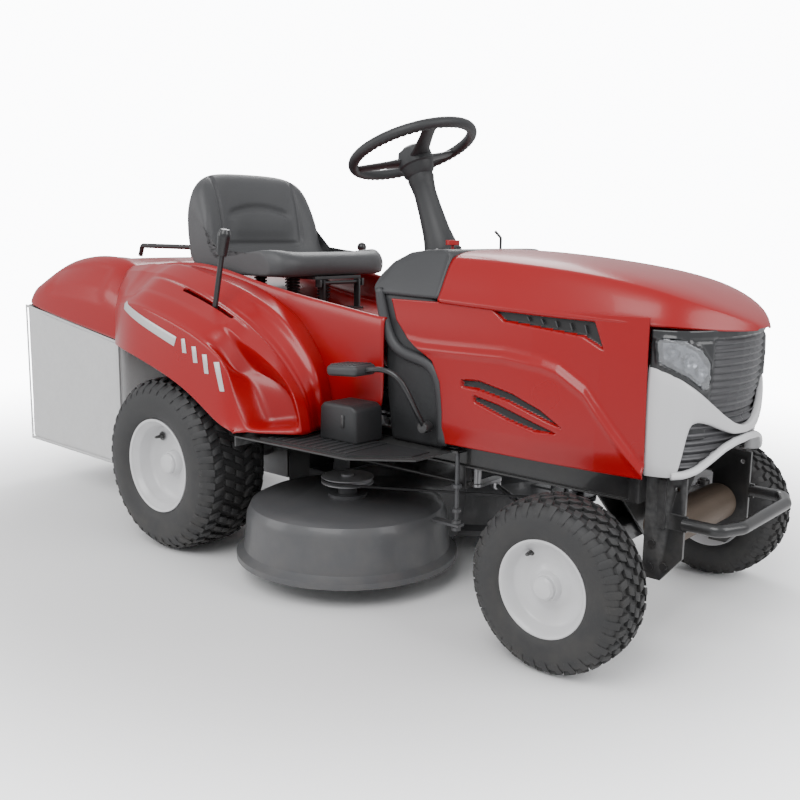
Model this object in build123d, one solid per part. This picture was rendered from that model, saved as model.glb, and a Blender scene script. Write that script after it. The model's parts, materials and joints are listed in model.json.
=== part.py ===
from build123d import *
from math import atan2, cos, degrees, pi, radians, sin, sqrt, tan
import os

# Riding lawn mower. Millimetres. +X is the front, +Y the driver's left, +Z up.
# The origin lies on the ground under the middle of the whole machine.
# Everything below is placed from the rear axle (x = 0) and shifted once, in save().

# Overall
overall_length = 2380.0
rear_overhang = 960.0          # rear axle to the back of the grass bag
wheelbase = 1150.0
rear_axle_x = rear_overhang - overall_length / 2

# Wheels
rear_tyre_d = 460.0
rear_tyre_w = 212.0
rear_rim_d = 236.0
rear_track = 800.0
front_tyre_d = 350.0
front_tyre_w = 130.0
front_rim_d = 187.0
front_track = 755.0
axle_shaft_d = 25.0
stub_axle_d = 19.0
fit = 0.05                     # radial running clearance of shafts and pins
gap = 0.3                      # clearance between curved or moving faces
boss_wall = 9.0

# Frame
rail_out = 200.0               # half the width over the rails
rail_web = 12.0
rail_h = 60.0
rail_z = 310.0
rail_back = -260.0
plate_t = 4.0

# Front axle and steering
kingpin_y = 290.0
kingpin_d = 19.0
beam_z = 220.0
beam_h = 40.0
steer_arm = 80.0
steer_plate_z = 182.0
steer_plate_t = 8.0
sector_y = -80.0
tie_rod_drop = 26.0
drag_link_drop = 14.0
wheel_tilt = 22.0              # steering column, degrees from upright
steering_wheel_d = 340.0
steering_wheel_x = 445.0
steering_wheel_z = 1048.0
steering_shaft_d = 20.0
column_base_z = 781.0
gearbox_z = 345.0
gearbox_h = 50.0

# Mower deck
deck_x = 474.0
spindle_y = 265.0
deck_r = 274.0
deck_lip_z = 52.0
deck_top_z = 196.0
deck_wall = 3.0
blade_r = deck_r - 34.0
blade_z = 78.0
spindle_d = 22.0
deck_pulley_r = 65.0
link_r = 5.0
link_z = 268.0
link_back_x = 350.0
stem_r = 5.0
axle_tube_r = 34.0
pulley_z = 230.0
pulley_h = 16.0
brake_x = -62.0
brake_y = 351.0
brake_z = 560.0
lift_x = 215.0
lift_z = 385.0
lift_arm = 150.0
lift_swing = 20.0
lift_shaft_d = 16.0
stem_x = 776.0
stem_y = 214.0

# Engine and drive
crank_x = 960.0
crank_d = 25.0
crank_pulley_r = 52.0
shroud_r = 124.0
drive_pulley_z = 322.0
drive_pulley_y = 145.0
drive_pulley_r = 30.0
belt_t = 6.0
chute_y = -30.0
chute_half = 100.0
chute_wall = 3.0
chute_floor = 344.0

# Bodywork
panel = 4.0
fender_half = 490.0
fender_top = 757.0
fender_back = -400.0
fender_front = 555.0
platform_half = 235.0
well_back_x = -310.0
well_back_z = 712.0
well_mid_x = 20.0
well_mid_z = 640.0
well_front_x = 340.0
well_front_z = 602.0
hood_half = 240.0
hood_front_half = 226.0
hood_back_x = 730.0
hood_bottom = 366.0
hood_top = 806.0
nose_x = 1382.0 - 1150.0       # ahead of the front axle
fascia_x = 1240.0 - 1150.0
nose_low = 656.0
footboard_z = 345.0
footboard_half = 464.0
dash_half = hood_half - 7.0
bumper_r = 13.0
bumper_z = 280.0
bumper_half = 172.0
front_plate_y = 165.0
front_plate_t = 8.0

# Seat
knob_x = 628.0
knob_y = -60.0
throttle_x = 650.0
throttle_y = 110.0
throttle_z = 770.0
pedal_x = 712.0
pedal_z = 402.0
seat_half = 220.0
seat_under = 718.0
seat_top = 782.0
seat_back_top = 1008.0
seat_front = 200.0
seat_rear = -232.0

# Grass bag
bag_half = 330.0
bag_floor = 122.0
bag_lid_back = 645.0
bag_hinge_z = 730.0
bag_gap = 12.0                 # between the fender and the bag, where the hinge sits
bag_hinge_r = 5.5
bag_hinge_pin_r = 2.5
bag_wall = 4.0

front_axle_x = wheelbase
bag_front = fender_back - bag_gap
bag_hinge_x = fender_back - bag_gap / 2
bumper_front = overall_length - rear_overhang
column = radians(wheel_tilt)
sector_x = steering_wheel_x + (steering_wheel_z - gearbox_z) * tan(column) + 6.0


def save(name, *shapes):
    solids = []
    for shape in shapes:
        solids += list(shape.solids())
    moved = [Pos(rear_axle_x, 0, 0) * s for s in solids]
    result = moved[0] if len(moved) == 1 else Compound(children=moved)
    export_step(result, "parts/" + name + ".step")


def box(x0, x1, y0, y1, z0, z1):
    size = (abs(x1 - x0), abs(y1 - y0), abs(z1 - z0))
    return Pos((x0 + x1) / 2, (y0 + y1) / 2, (z0 + z1) / 2) * Box(*size)


def rod(start, end, r):
    a = Vector(*start)
    along = Vector(*end) - a
    base = Plane(origin=a, z_dir=along.normalized())
    return base * Cylinder(r, along.length, align=(Align.CENTER, Align.CENTER, Align.MIN))


def ring(start, end, r_out, r_in):
    return rod(start, end, r_out) - rod(start, end, r_in)


def disc(x, y, z, r, h):
    return Pos(x, y, z) * Cylinder(r, h, align=(Align.CENTER, Align.CENTER, Align.MIN))


def bent_rod(points, r, bend):
    path = FilletPolyline(*points, radius=bend)
    section = Plane(origin=path @ 0, z_dir=path % 0) * Circle(r)
    return sweep(section, path=path)


def side_face(points, y, inset=0.0):
    outline = Plane(origin=(0, y, 0), x_dir=(1, 0, 0), z_dir=(0, -1, 0)) * Polyline(*points, close=True)
    face = make_face(outline)
    return offset(face, amount=-inset, kind=Kind.INTERSECTION) if inset else face


def side_plate(points, y0, y1, inset=0.0):
    """Solid with a side outline (x, z), from y0 to y1."""
    low, high = min(y0, y1), max(y0, y1)
    return extrude(side_face(points, low, inset), amount=high - low, dir=(0, 1, 0))


def plan_plate(points, z0, z1):
    face = make_face(Plane(origin=(0, 0, z0)) * Polyline(*points, close=True))
    return extrude(face, amount=z1 - z0, dir=(0, 0, 1))


def cross_section(x, points):
    return make_face(Polyline(*[(x, y, z) for y, z in points], close=True))


def turned(profile, centre, direction):
    """Solid of revolution from (radius, height) points about a line through centre."""
    face = make_face(Plane.XZ * Polyline(*profile, close=True))
    solid = revolve(face, axis=Axis.Z)
    return Plane(origin=centre, z_dir=direction) * solid


def loft_shape(sections):
    """Straight-sided shape through cross-sections, one (x, points) pair after another."""
    spans = []
    for (xa, a), (xb, b) in zip(sections, sections[1:]):
        spans.append(loft([cross_section(xa, a), cross_section(xb, b)], ruled=True))
    shape = spans[0]
    for span in spans[1:]:
        shape = shape + span
    return shape


# ---------------------------------------------------------------- wheels
def tyre(centre, side, d, w, rim_d):
    r, rim, half = d / 2, rim_d / 2, w / 2
    tread = half * 0.72
    shoulder = r - (r - rim) * 0.16
    bulge = r - (r - rim) * 0.5
    seat = rim + gap
    profile = [
        (seat, -half * 0.78), (seat + 8, -half * 0.9), (bulge, -half), (shoulder, -half * 0.93),
        (r, -tread), (r, tread), (shoulder, half * 0.93), (bulge, half), (seat + 8, half * 0.9),
        (seat, half * 0.78),
    ]
    return turned(profile, centre, (0, side, 0))


def rim(centre, side, d, w, hub_r, bore_r, dish):
    """Pressed wheel disc and barrel; dish is how far the disc lies from the middle, outward."""
    r, half, t = d / 2, w * 0.39, 3.0
    profile = [
        (r, -half), (r, -half + 6), (r - 12, -half + 14), (r - 12, half - 14), (r, half - 6), (r, half),
        (r - 4, half), (r - 16, half - 12), (r - 16, dish + t), (r * 0.62, dish + t - 6),
        (hub_r + 12, dish + 8), (hub_r, dish + 8), (hub_r, dish + 22), (bore_r, dish + 22),
        (bore_r, -half + 10), (hub_r, -half + 10), (hub_r, dish - 2), (r * 0.62, dish - 8 - t),
        (r - 16, dish - t), (r - 16, -half + 12), (r - 4, -half),
    ]
    return turned(profile, centre, (0, side, 0))


def wheels():
    rear_z, front_z = rear_tyre_d / 2, front_tyre_d / 2
    shaft_r, stub_r = axle_shaft_d / 2, stub_axle_d / 2
    for name, side in (("left", 1), ("right", -1)):
        centre = (0, side * rear_track / 2, rear_z)
        save("rear_tyre_" + name, tyre(centre, side, rear_tyre_d, rear_tyre_w, rear_rim_d))
        hub = rear_track / 2
        shaft = rod((0, side * 40, rear_z), (0, side * (hub + 24), rear_z), shaft_r)
        washer = rod((0, side * (hub + 12.5), rear_z), (0, side * (hub + 16), rear_z), 24)
        cap = rod((0, side * (hub + 24), rear_z), (0, side * (hub + 30), rear_z), shaft_r - 3)
        disc_and_barrel = rim(centre, side, rear_rim_d, rear_tyre_w, 30, shaft_r, -10)
        save("rear_rim_" + name, disc_and_barrel, shaft + washer + cap)
        centre = (front_axle_x, side * front_track / 2, front_z)
        save("front_tyre_" + name, tyre(centre, side, front_tyre_d, front_tyre_w, front_rim_d))
        save("front_rim_" + name, rim(centre, side, front_rim_d, front_tyre_w, 24, stub_r + fit, 0))


# ---------------------------------------------------------------- frame
def frame():
    rail_front = front_axle_x + 72
    for name, side in (("left", 1), ("right", -1)):
        rail = box(rail_back, rail_front, side * (rail_out - rail_web), side * rail_out, rail_z,
                   rail_z + rail_h)
        pocket = box(rail_back + 20, rail_front - 20, side * (rail_out - rail_web + plate_t),
                     side * rail_out, rail_z + plate_t, rail_z + rail_h - plate_t)
        ear_y = rail_out - rail_web
        ear = box(lift_x - 18, lift_x + 18, side * ear_y, side * (ear_y + 8), rail_z + rail_h, lift_z + 18)
        bore = rod((lift_x, side * (ear_y - 5), lift_z), (lift_x, side * (rail_out + 5), lift_z),
                   lift_shaft_d / 2 + fit)
        guide = box(stem_x - 9, stem_x + 9, side * (rail_out - rail_web), side * (stem_y + 12), 345, 351)
        hole = disc(stem_x, side * stem_y, 340, stem_r + 1.0, 20)
        body = rail - pocket + ear - bore + guide - hole + axle_hanger(side) + body_support(side)
        if side < 0:
            body += link_hanger(stem_x) + link_hanger(link_back_x)
        save("frame_rail_" + name, body)
    inner = rail_out - rail_web
    rear = box(rail_back, rail_back + plate_t, -inner, inner, 190, chute_floor - gap)
    shelf = box(rail_back - 70, rail_back, -70, 70, 268, 276)
    pin_hole = disc(rail_back - 45, 0, 250, 8.0, 50)
    save("hitch_plate", rear + shelf - pin_hole)
    engine_plate = box(crank_x - 150, front_axle_x + 50, -inner, inner, rail_z + rail_h - plate_t,
                       rail_z + rail_h)
    engine_plate -= disc(crank_x, 0, 300, crank_d / 2 + 4, 120)
    save("frame_cross_members", engine_plate, tank_shelf(), *axle_mounts())


def axle_hanger(side):
    z = rear_tyre_d / 2
    plate = box(-60, 60, side * 178, side * (rail_out - rail_web), z - 50, rail_z + 30)
    return plate - rod((0, side * 160, z), (0, side * 200, z), axle_tube_r)


def body_support(side):
    top = rail_z + rail_h
    under = panel * 1.06 + gap
    outline = [(-180, top), (40, top), (40, platform_z(40) - under), (20, platform_z(20) - under),
               (-180, platform_z(-180) - under)]
    plate = side_plate(outline, side * (rail_out - rail_web), side * (rail_out - rail_web + 6))
    return plate - rod((brake_x, side * 180, brake_z), (brake_x, side * 210, brake_z), 6 + fit)


def link_hanger(x):
    inner = -(rail_out - rail_web)
    plate = box(x - 12, x + 12, -(rail_out - 2), inner + 12, link_z - 10, rail_z)
    return plate - rod((x - 40, inner + 3, link_z), (x + 40, inner + 3, link_z), link_r + fit)


def axle_mounts():
    """Cross plates and the pin that the front axle pivots on."""
    inner = rail_out - rail_web
    pin = rod((front_axle_x - 45, 0, beam_z), (front_axle_x + 40, 0, beam_z), 9.0)
    head = rod((front_axle_x + 32, 0, beam_z), (front_axle_x + 42, 0, beam_z), 15)
    plates = []
    for x in (front_axle_x + 26, front_axle_x - 26 - 6):
        outline = [(-inner, 366), (-inner, 312), (-60, beam_z - 28), (60, beam_z - 28), (inner, 312),
                   (inner, 366)]
        plate = extrude(cross_section(x, outline), amount=6, dir=(1, 0, 0))
        plates.append(plate)
    return [plates[0] + plates[1] + pin + head]


def front_brackets():
    x0, x1 = front_axle_x + 75, front_axle_x + 160
    for side in (1, -1):
        outline = [(x0, 370), (x0, 150), (x1 - 45, 150), (x1, 205), (x1, 370)]
        near = side * (front_plate_y - front_plate_t / 2)
        far = side * (front_plate_y + front_plate_t / 2)
        plate = side_plate(outline, near, far)
        plate -= rod((hinge_x(), side * 150, hinge_z()), (hinge_x(), side * 180, hinge_z()), 5.0 + fit)
        post = box(x0 + 30, x0 + 46, far, far + side * 8, 262, 362)
        rail_tie = box(front_axle_x + 72, x0, side * (front_plate_y - 4), side * rail_out, rail_z,
                       rail_z + rail_h)
        bolts = []
        for bx, bz in ((x0 + 18, 176), (x0 + 48, 182), (x0 + 20, 225)):
            bolts.append(rod((bx, far, bz), (bx, far + side * 6, bz), 8))
        save("front_bracket_" + ("left" if side > 0 else "right"), plate + post + rail_tie, *bolts)


def hinge_x():
    return front_axle_x + 142


def hinge_z():
    return 346.0


def bumper():
    x0 = front_axle_x + 160
    front = bumper_front - bumper_r
    y = bumper_half
    points = [
        (x0, -y, bumper_z), (front - 24, -y, bumper_z), (front, -y + 55, bumper_z),
        (front, y - 55, bumper_z), (front - 24, y, bumper_z), (x0, y, bumper_z),
    ]
    bar = bent_rod(points, bumper_r, 22)
    for side in (1, -1):
        near = side * (front_plate_y + front_plate_t / 2)
        bar += box(x0 - 30, x0 + 8, near, near + side * 6, bumper_z - 16, bumper_z + 16)
    save("front_bumper", bar)


# ---------------------------------------------------------------- front axle and steering
def front_axle():
    sleeve_r = kingpin_d / 2 + boss_wall
    low, high = beam_z - beam_h / 2, beam_z + beam_h / 2
    beam = box(front_axle_x - 18, front_axle_x + 18, -kingpin_y + 12, kingpin_y - 12, low, high)
    hub = rod((front_axle_x - 24, 0, beam_z), (front_axle_x + 24, 0, beam_z), 24)
    beam = beam + hub
    for side in (1, -1):
        beam += disc(front_axle_x, side * kingpin_y, low - 3, sleeve_r, beam_h + 6)
    for side in (1, -1):
        beam -= disc(front_axle_x, side * kingpin_y, 150, kingpin_d / 2 + fit, 150)
    beam -= rod((front_axle_x - 40, 0, beam_z), (front_axle_x + 40, 0, beam_z), 9.0 + fit)
    save("front_axle_beam", beam)


def arm_plate(pivot, tip, r, z, t):
    """Flat lever between two round ends."""
    dx, dy = tip[0] - pivot[0], tip[1] - pivot[1]
    length = sqrt(dx * dx + dy * dy)
    bar = Pos(length / 2, 0, z + t / 2) * Box(length, 2 * r, t)
    lever = bar + disc(0, 0, z, r, t) + disc(length, 0, z, r, t)
    return Pos(pivot[0], pivot[1], 0) * Rot(0, 0, degrees(atan2(dy, dx))) * lever


def knuckles():
    stub_z = front_tyre_d / 2
    z, t = steer_plate_z, steer_plate_t
    for name, side in (("left", 1), ("right", -1)):
        y = side * kingpin_y
        top = beam_z + beam_h / 2 + 3
        body = disc(front_axle_x, y, stub_z - 15, kingpin_d / 2, top + 14 - stub_z + 15)
        body += disc(front_axle_x, y, stub_z - 15, 16, beam_z - beam_h / 2 - 3 - gap - stub_z + 15)
        body += disc(front_axle_x, y, top + gap, 15, 9)
        body += rod((front_axle_x, y, stub_z), (front_axle_x, side * (front_track / 2 + 34), stub_z),
                    stub_axle_d / 2)
        body += rod((front_axle_x, side * (front_track / 2 + 22 + gap), stub_z),
                    (front_axle_x, side * (front_track / 2 + 27), stub_z), 17)
        body += arm_plate((front_axle_x, y), (front_axle_x - steer_arm, y), 12, z, t)
        body += disc(front_axle_x - steer_arm, y, z - tie_rod_drop - 10, 5, tie_rod_drop + 12)
        if side < 0:
            body += arm_plate((front_axle_x, y), (front_axle_x, y + steer_arm), 12, z, t)
            body += disc(front_axle_x, y + steer_arm, z - drag_link_drop - 9, 5, drag_link_drop + 11)
        save("steering_knuckle_" + name, body)


def linkage():
    z = steer_plate_z - tie_rod_drop
    x = front_axle_x - steer_arm
    rod_body = rod((x, -kingpin_y, z), (x, kingpin_y, z), 6)
    for side in (1, -1):
        rod_body += disc(x, side * kingpin_y, z - 7, 11, 14)
    for side in (1, -1):
        rod_body -= disc(x, side * kingpin_y, z - 20, 5 + fit, 40)
    save("tie_rod", rod_body)
    tip_y = -kingpin_y + steer_arm
    z = steer_plate_z - drag_link_drop
    near, far = (front_axle_x, tip_y, z), (sector_x, sector_y + steer_arm, beam_z)
    link = rod(near, far, 6) + disc(near[0], near[1], z - 7, 11, 14) + disc(far[0], far[1], beam_z - 7,
                                                                            13, 14)
    link -= disc(near[0], near[1], z - 20, 5 + fit, 40)
    link -= disc(far[0], far[1], beam_z - 20, 5 + 1.6, 40)
    save("drag_link", link)
    arm_z = beam_z + 11
    sector = disc(sector_x, sector_y, arm_z, 10, gearbox_z + gearbox_h - 12 - arm_z)
    sector += arm_plate((sector_x, sector_y), (sector_x, sector_y + steer_arm), 14, arm_z, 8)
    sector += disc(sector_x, sector_y + steer_arm, beam_z - 12, 5, 24)
    save("steering_arm", sector)


def column_point(z):
    return (steering_wheel_x + (steering_wheel_z - z) * tan(column), 0, z)


def steering():
    inner = rail_out - rail_web
    z0, z1 = gearbox_z, gearbox_z + gearbox_h
    entry = column_point(z1)
    housing = box(sector_x - 62, sector_x + 40, sector_y - 35, 38, z0, z1)
    mount = box(sector_x - 62, sector_x + 40, -inner, inner, z0 - 4, z0)
    housing = housing + mount
    shaft_r = steering_shaft_d / 2
    top = column_point(steering_wheel_z)
    low = column_point(z0 + 14)
    housing -= rod(low, top, shaft_r + fit)
    housing -= disc(sector_x, sector_y, z0 - 30, 10 + fit, gearbox_h + 18)
    save("steering_gearbox", housing)
    foot = column_point(z0 + 16)
    save("steering_shaft", rod(foot, column_point(steering_wheel_z - 18), shaft_r))
    base, neck = column_point(column_base_z), column_point(985)
    axis = (Vector(*neck) - Vector(*base)).normalized()
    length = (Vector(*neck) - Vector(*base)).length
    profile = [(shaft_r + 1, 0), (48, 0), (46, 30), (33, 60), (30, length - 20), (38, length),
               (shaft_r + 1, length)]
    save("column_cover", turned(profile, base, axis))
    centre = Vector(*column_point(steering_wheel_z))
    plane = Plane(origin=centre, x_dir=(cos(column), 0, sin(column)), z_dir=(-sin(column), 0, cos(column)))
    wheel_r = steering_wheel_d / 2 - 13
    wheel = Torus(wheel_r, 13)
    wheel += Pos(0, 0, -46) * Cylinder(34, 42, align=(Align.CENTER, Align.CENTER, Align.MIN))
    for angle in (90, 210, 330):
        spoke = Pos(wheel_r / 2 + 12, 0, -14) * Rot(0, -8, 0) * Box(wheel_r - 30, 44, 12)
        wheel += Rot(0, 0, angle) * spoke
    wheel -= Pos(0, 0, -60) * Cylinder(shaft_r, 46, align=(Align.CENTER, Align.CENTER, Align.MIN))
    save("steering_wheel", plane * wheel)


# ---------------------------------------------------------------- mower deck
def deck_profile(inset):
    """Half outline of one cutting chamber: (radius, height) from the lip to the top."""
    r, top = deck_r - inset, deck_top_z - inset
    return [(0, deck_lip_z), (r, deck_lip_z), (r, deck_lip_z + 14), (r - 18, deck_lip_z + 26),
            (r - 26, top - 34), (r - 36, top - 12), (r - 60, top), (0, top)]


def chamber(inset):
    shape = None
    for side in (1, -1):
        part = turned(deck_profile(inset), (deck_x, side * spindle_y, 0), (0, 0, 1))
        shape = part if shape is None else shape + part
    back = deck_x - deck_r + 6 + inset
    front = deck_x + 128 - inset
    return shape + box(back, front, -140 + inset, 140 - inset, deck_lip_z, deck_top_z - inset)


def deck():
    shell = chamber(0) - (Pos(0, 0, -0.01) * chamber(deck_wall))
    shell -= box(deck_x - deck_r - 20, deck_x - 200, chute_y - chute_half, chute_y + chute_half,
                 deck_lip_z + 16, deck_top_z - 10)
    for side in (1, -1):
        shell -= disc(deck_x, side * spindle_y, deck_top_z - 20, 24, 60)
    pin_x, pin_z = lift_pin()
    brackets = []
    for side in (1, -1):
        y0, y1 = side * 159, side * 165
        outline = [(pin_x - 44, deck_top_z), (pin_x + 18, deck_top_z), (pin_x + 14, pin_z + 14),
                   (pin_x - 14, pin_z + 14)]
        ear = side_plate(outline, y0, y1)
        slot = rod((pin_x - 1, side * 150, pin_z), (pin_x - 1, side * 180, pin_z), 5.6)
        slot += box(pin_x - 1, pin_x + 5, side * 150, side * 180, pin_z - 5.6, pin_z + 5.6)
        slot += rod((pin_x + 5, side * 150, pin_z), (pin_x + 5, side * 180, pin_z), 5.6)
        brackets.append(ear - slot)
        ledge_z = 176.0
        ledge = box(stem_x - 90, stem_x + 14, side * (stem_y - 12), side * (stem_y + 12), ledge_z - 6,
                    ledge_z)
        brackets.append(ledge)
        stem = disc(stem_x, side * stem_y, ledge_z - 16, stem_r, 190)
        for nut_z in (ledge_z - 16, ledge_z + gap, ledge_z + 28, 262):
            stem += disc(stem_x, side * stem_y, nut_z, 11, 8)
        brackets.append(stem)
    for bracket in brackets:
        shell = shell + bracket
    save("deck_shell", shell, *spindle_housings())


def lift_pin():
    """Where the lift arm's pin stands with the deck at its lowest."""
    low = radians(lift_swing / 2)
    return lift_x + lift_arm * cos(low), lift_z - lift_arm * sin(low)


def spindle_housings():
    housings = []
    for side in (1, -1):
        y = side * spindle_y
        housing = disc(deck_x, y, deck_top_z - 60, 23.5, 84) + disc(deck_x, y, deck_top_z, 48, 8)
        housings.append(housing - disc(deck_x, y, 100, spindle_d / 2 + fit, 200))
    return housings


def spindles():
    for name, side in (("left", 1), ("right", -1)):
        y = side * spindle_y
        shaft_r = spindle_d / 2
        shaft = disc(deck_x, y, blade_z - 14, shaft_r, pulley_z + pulley_h + 4 - blade_z + 14)
        shaft += disc(deck_x, y, pulley_z + pulley_h, 16, 5)
        shaft += disc(deck_x, y, blade_z + 5, 26, deck_top_z - 60 - gap - blade_z - 5)
        save("spindle_" + name, shaft, v_pulley(deck_x, y, pulley_z, pulley_h, deck_pulley_r, shaft_r))
        half, width = blade_r, 27
        flat = plan_plate([(-half, -width), (half, -width), (half, width), (-half, width)], 0, 5)
        wing = box(half - 70, half - 8, width - 12, width, 5, 22)
        blade = flat + wing + Rot(0, 0, 180) * wing
        blade -= Cylinder(shaft_r, 60)
        save("blade_" + name, Pos(deck_x, y, blade_z) * Rot(0, 0, 20) * blade)


def v_pulley(x, y, z, h, r, bore_r):
    profile = [(bore_r, 0), (r, 0), (r, 2), (r - belt_t, h / 2 - 3), (r - belt_t, h / 2 + 3), (r, h - 2),
               (r, h),
               (bore_r, h)]
    return turned(profile, (x, y, z), (0, 0, 1))


def belt_loop(circles, z, h):
    """Belt round pulleys given as (x, y, groove radius)."""
    outer, inner = [], []
    for x, y, r in circles:
        outer += list((Pos(x, y, 0) * Circle(r + belt_t)).edges())
        inner += list((Pos(x, y, 0) * Circle(r + gap)).edges())
    body = extrude(make_hull(outer), amount=h) - extrude(make_hull(inner), amount=h)
    return Pos(0, 0, z) * body


def belts():
    mid = pulley_h / 2
    groove = -belt_t
    save("drive_belt", belt_loop([(crank_x, 0, crank_pulley_r + groove),
                                  (20, drive_pulley_y,
                                   drive_pulley_r + groove)], drive_pulley_z + mid - 2.5, 5))
    save("blade_belt", belt_loop([(crank_x, 0, crank_pulley_r + groove),
                                  (deck_x, spindle_y, deck_pulley_r + groove),
                                  (deck_x, -spindle_y, deck_pulley_r + groove)], pulley_z + mid - 2.5, 5))


def lift_gear():
    y_in = 168.0
    low = radians(-lift_swing / 2)
    shaft_r = lift_shaft_d / 2
    shaft = rod((lift_x, -262, lift_z), (lift_x, 206, lift_z), shaft_r)
    px, pz = lift_pin()
    for side in (1, -1):
        y0, y1 = side * y_in, side * (y_in + 7)
        lever = rod((lift_x, y0, lift_z), (lift_x, y1, lift_z), 14) + rod((px, y0, pz), (px, y1, pz), 11)
        bar = Pos(lift_arm / 2, 0, 0) * Box(lift_arm, 7, 18)
        bar = Pos(lift_x, (y0 + y1) / 2, lift_z) * Rot(0, degrees(-low), 0) * bar
        pin = rod((px, side * 156, pz), (px, y1, pz), 5)
        shaft += lever + bar + pin
    handle = bent_rod([(lift_x, -254, lift_z), (lift_x - 52, -254, lift_z + 125), (lift_x - 108, -376, 600),
                       (lift_x - 104, -380, 640), (157, -380, 838)], 7, 12)
    top = Vector(157, -380, 838)
    foot = Vector(lift_x - 104, -380, 640)
    along = (top - foot).normalized()
    grip_base = top - along * 40
    grip = turned([(0, 0), (13, 0), (15, 30), (17, 62), (12, 76), (0, 78)], grip_base, along)
    save("lift_lever", shaft + handle + grip)
    link_y = -(rail_out - rail_web) + 3
    save("lift_link", rod((link_back_x - 26, link_y, link_z), (stem_x + 20, link_y, link_z), link_r))


# ---------------------------------------------------------------- engine and drive
def engine():
    base = rail_z + rail_h
    block = disc(crank_x, 0, base, 118, 130)
    block += box(crank_x + 60, crank_x + 225, -74, 74, base + 14, base + 140)
    for i in range(7):
        x = crank_x + 112 + i * 16
        block += box(x, x + 5, -88, 88, base + 10, base + 146)
    block -= disc(crank_x, 0, 300, crank_d / 2 + fit, 400)
    save("engine_block", block)
    shroud_z = base + 150
    r = shroud_r
    profile = [(r, 0), (r, 70), (r - 30, 108), (r - 64, 114), (r - 64, 110), (r - 34, 104), (r - 4, 68),
               (r - 4, 0)]
    cover = turned(profile, (crank_x, 0, shroud_z), (0, 0, 1))
    for angle in (90, 180, 270):
        leg = Rot(0, 0, angle) * box(r - 20, r - 2, -9, 9, base + 130, shroud_z + 6)
        cover += Pos(crank_x, 0, 0) * leg
    shaft = disc(crank_x, 0, pulley_z - 8, crank_d / 2, base + 170 - pulley_z)
    shaft += disc(crank_x, 0, base + 132, 30, 30)
    fan = disc(crank_x, 0, base + 156, r - 26, 14)
    for angle in range(0, 360, 30):
        fan += Pos(crank_x, 0, 0) * (Rot(0, 0, angle) * box(52, r - 28, -2, 2, base + 168, base + 196))
    fan -= disc(crank_x, 0, 400, crank_d / 2, 400)
    shaft = shaft - disc(crank_x, 0, base + 155.9, 40, 100) + disc(crank_x, 0, base + 140, crank_d / 2, 36)
    stack = v_pulley(crank_x, 0, pulley_z, pulley_h, crank_pulley_r, crank_d / 2)
    hub = ring((crank_x, 0, pulley_z + pulley_h), (crank_x, 0, drive_pulley_z), 24, crank_d / 2)
    stack += v_pulley(crank_x, 0, drive_pulley_z, pulley_h, crank_pulley_r, crank_d / 2) + hub
    save("crankshaft", shaft, fan, stack)
    air = box(crank_x - 60, crank_x + 70, shroud_r + 10, 205, base + 70, base + 200)
    air += box(crank_x - 20, crank_x + 20, 118 + gap, shroud_r + 12, base + 90, base + 120)
    save("engine_shroud", cover, air)
    x = front_axle_x + 100
    muffler = rod((x, -140, 250), (x, 140, 250), 42)
    pipe = bent_rod([(x, -60, 280), (x, -60, 440), (crank_x + 225, -60, 440)], 13, 30)
    save("muffler", muffler + pipe)


def rear_drive():
    z = rear_tyre_d / 2
    case = box(-95, 95, -120, 165, z - 85, z + 70)
    case += rod((0, -186, z), (0, 186, z), axle_tube_r)
    case += disc(20, drive_pulley_y, z + 70, 18, drive_pulley_z - z - 72)
    case -= rod((0, -200, z), (0, 200, z), axle_shaft_d / 2 + fit)
    case -= disc(20, drive_pulley_y, z, 8 + fit, 200)
    save("transaxle", case)
    shaft = disc(20, drive_pulley_y, z + 20, 8, drive_pulley_z + pulley_h + 4 - z - 20)
    pulley = v_pulley(20, drive_pulley_y, drive_pulley_z, pulley_h, drive_pulley_r, 8)
    save("drive_pulley", pulley + shaft)


def chute():
    mouth = deck_x - deck_r - 4
    outline = [(mouth, 62), (mouth, 275), (mouth - 48, 440), (0, 505), (-388, 505), (-388, chute_floor),
               (112, chute_floor), (112, 62)]
    low, high = chute_y - chute_half, chute_y + chute_half
    body = side_plate(outline, low, high)
    hollow = side_plate(outline, low + chute_wall, high - chute_wall, inset=chute_wall)
    body -= hollow
    body -= box(mouth - 10, mouth + 10, low + 3, high - 3, 62 + chute_wall, 272)
    body -= box(-400, -380, low + 3, high - 3, chute_floor + chute_wall, 505 - chute_wall)
    save("discharge_chute", body)


def tank_shelf():
    x = hood_back_x + 26
    low = rail_z + rail_h
    shelf = box(x - 2, x + 78, -188, 188, 552, 560) + box(x - 2, x + 78, -188, 188, low + 36, low + 42)
    for side in (1, -1):
        shelf += box(x - 2, x + 78, side * 180, side * 188, low, 552)
    return shelf


def tank_and_battery():
    x = hood_back_x + 26
    tank = box(x, x + 76, -170, 170, 560, 690)
    tank = fillet(tank.edges().filter_by(Axis.Z), 18)
    battery = box(x + 2, x + 76, -90, 92, rail_z + rail_h + 42, 540)
    save("fuel_tank_and_battery", tank, disc(x + 39, -90, 690, 30, 22), battery)


# ---------------------------------------------------------------- bodywork
def fender_side(inset):
    return [(fender_back, 528), (fender_back, 738), (-240, fender_top), (-60, fender_top), (340, 684),
            (fender_front, 652), (fender_front, 500), (478, 392), (300, 366), (200, 405), (105, 458),
            (-20, 495), (-250, 531)]


def platform_z(x):
    """Height of the seat platform, which falls in two slopes towards the front."""
    if x < well_mid_x:
        return well_back_z + (well_mid_z - well_back_z) * (x - well_back_x) / (well_mid_x - well_back_x)
    return well_mid_z + (well_front_z - well_mid_z) * (x - well_mid_x) / (well_front_x - well_mid_x)


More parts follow.
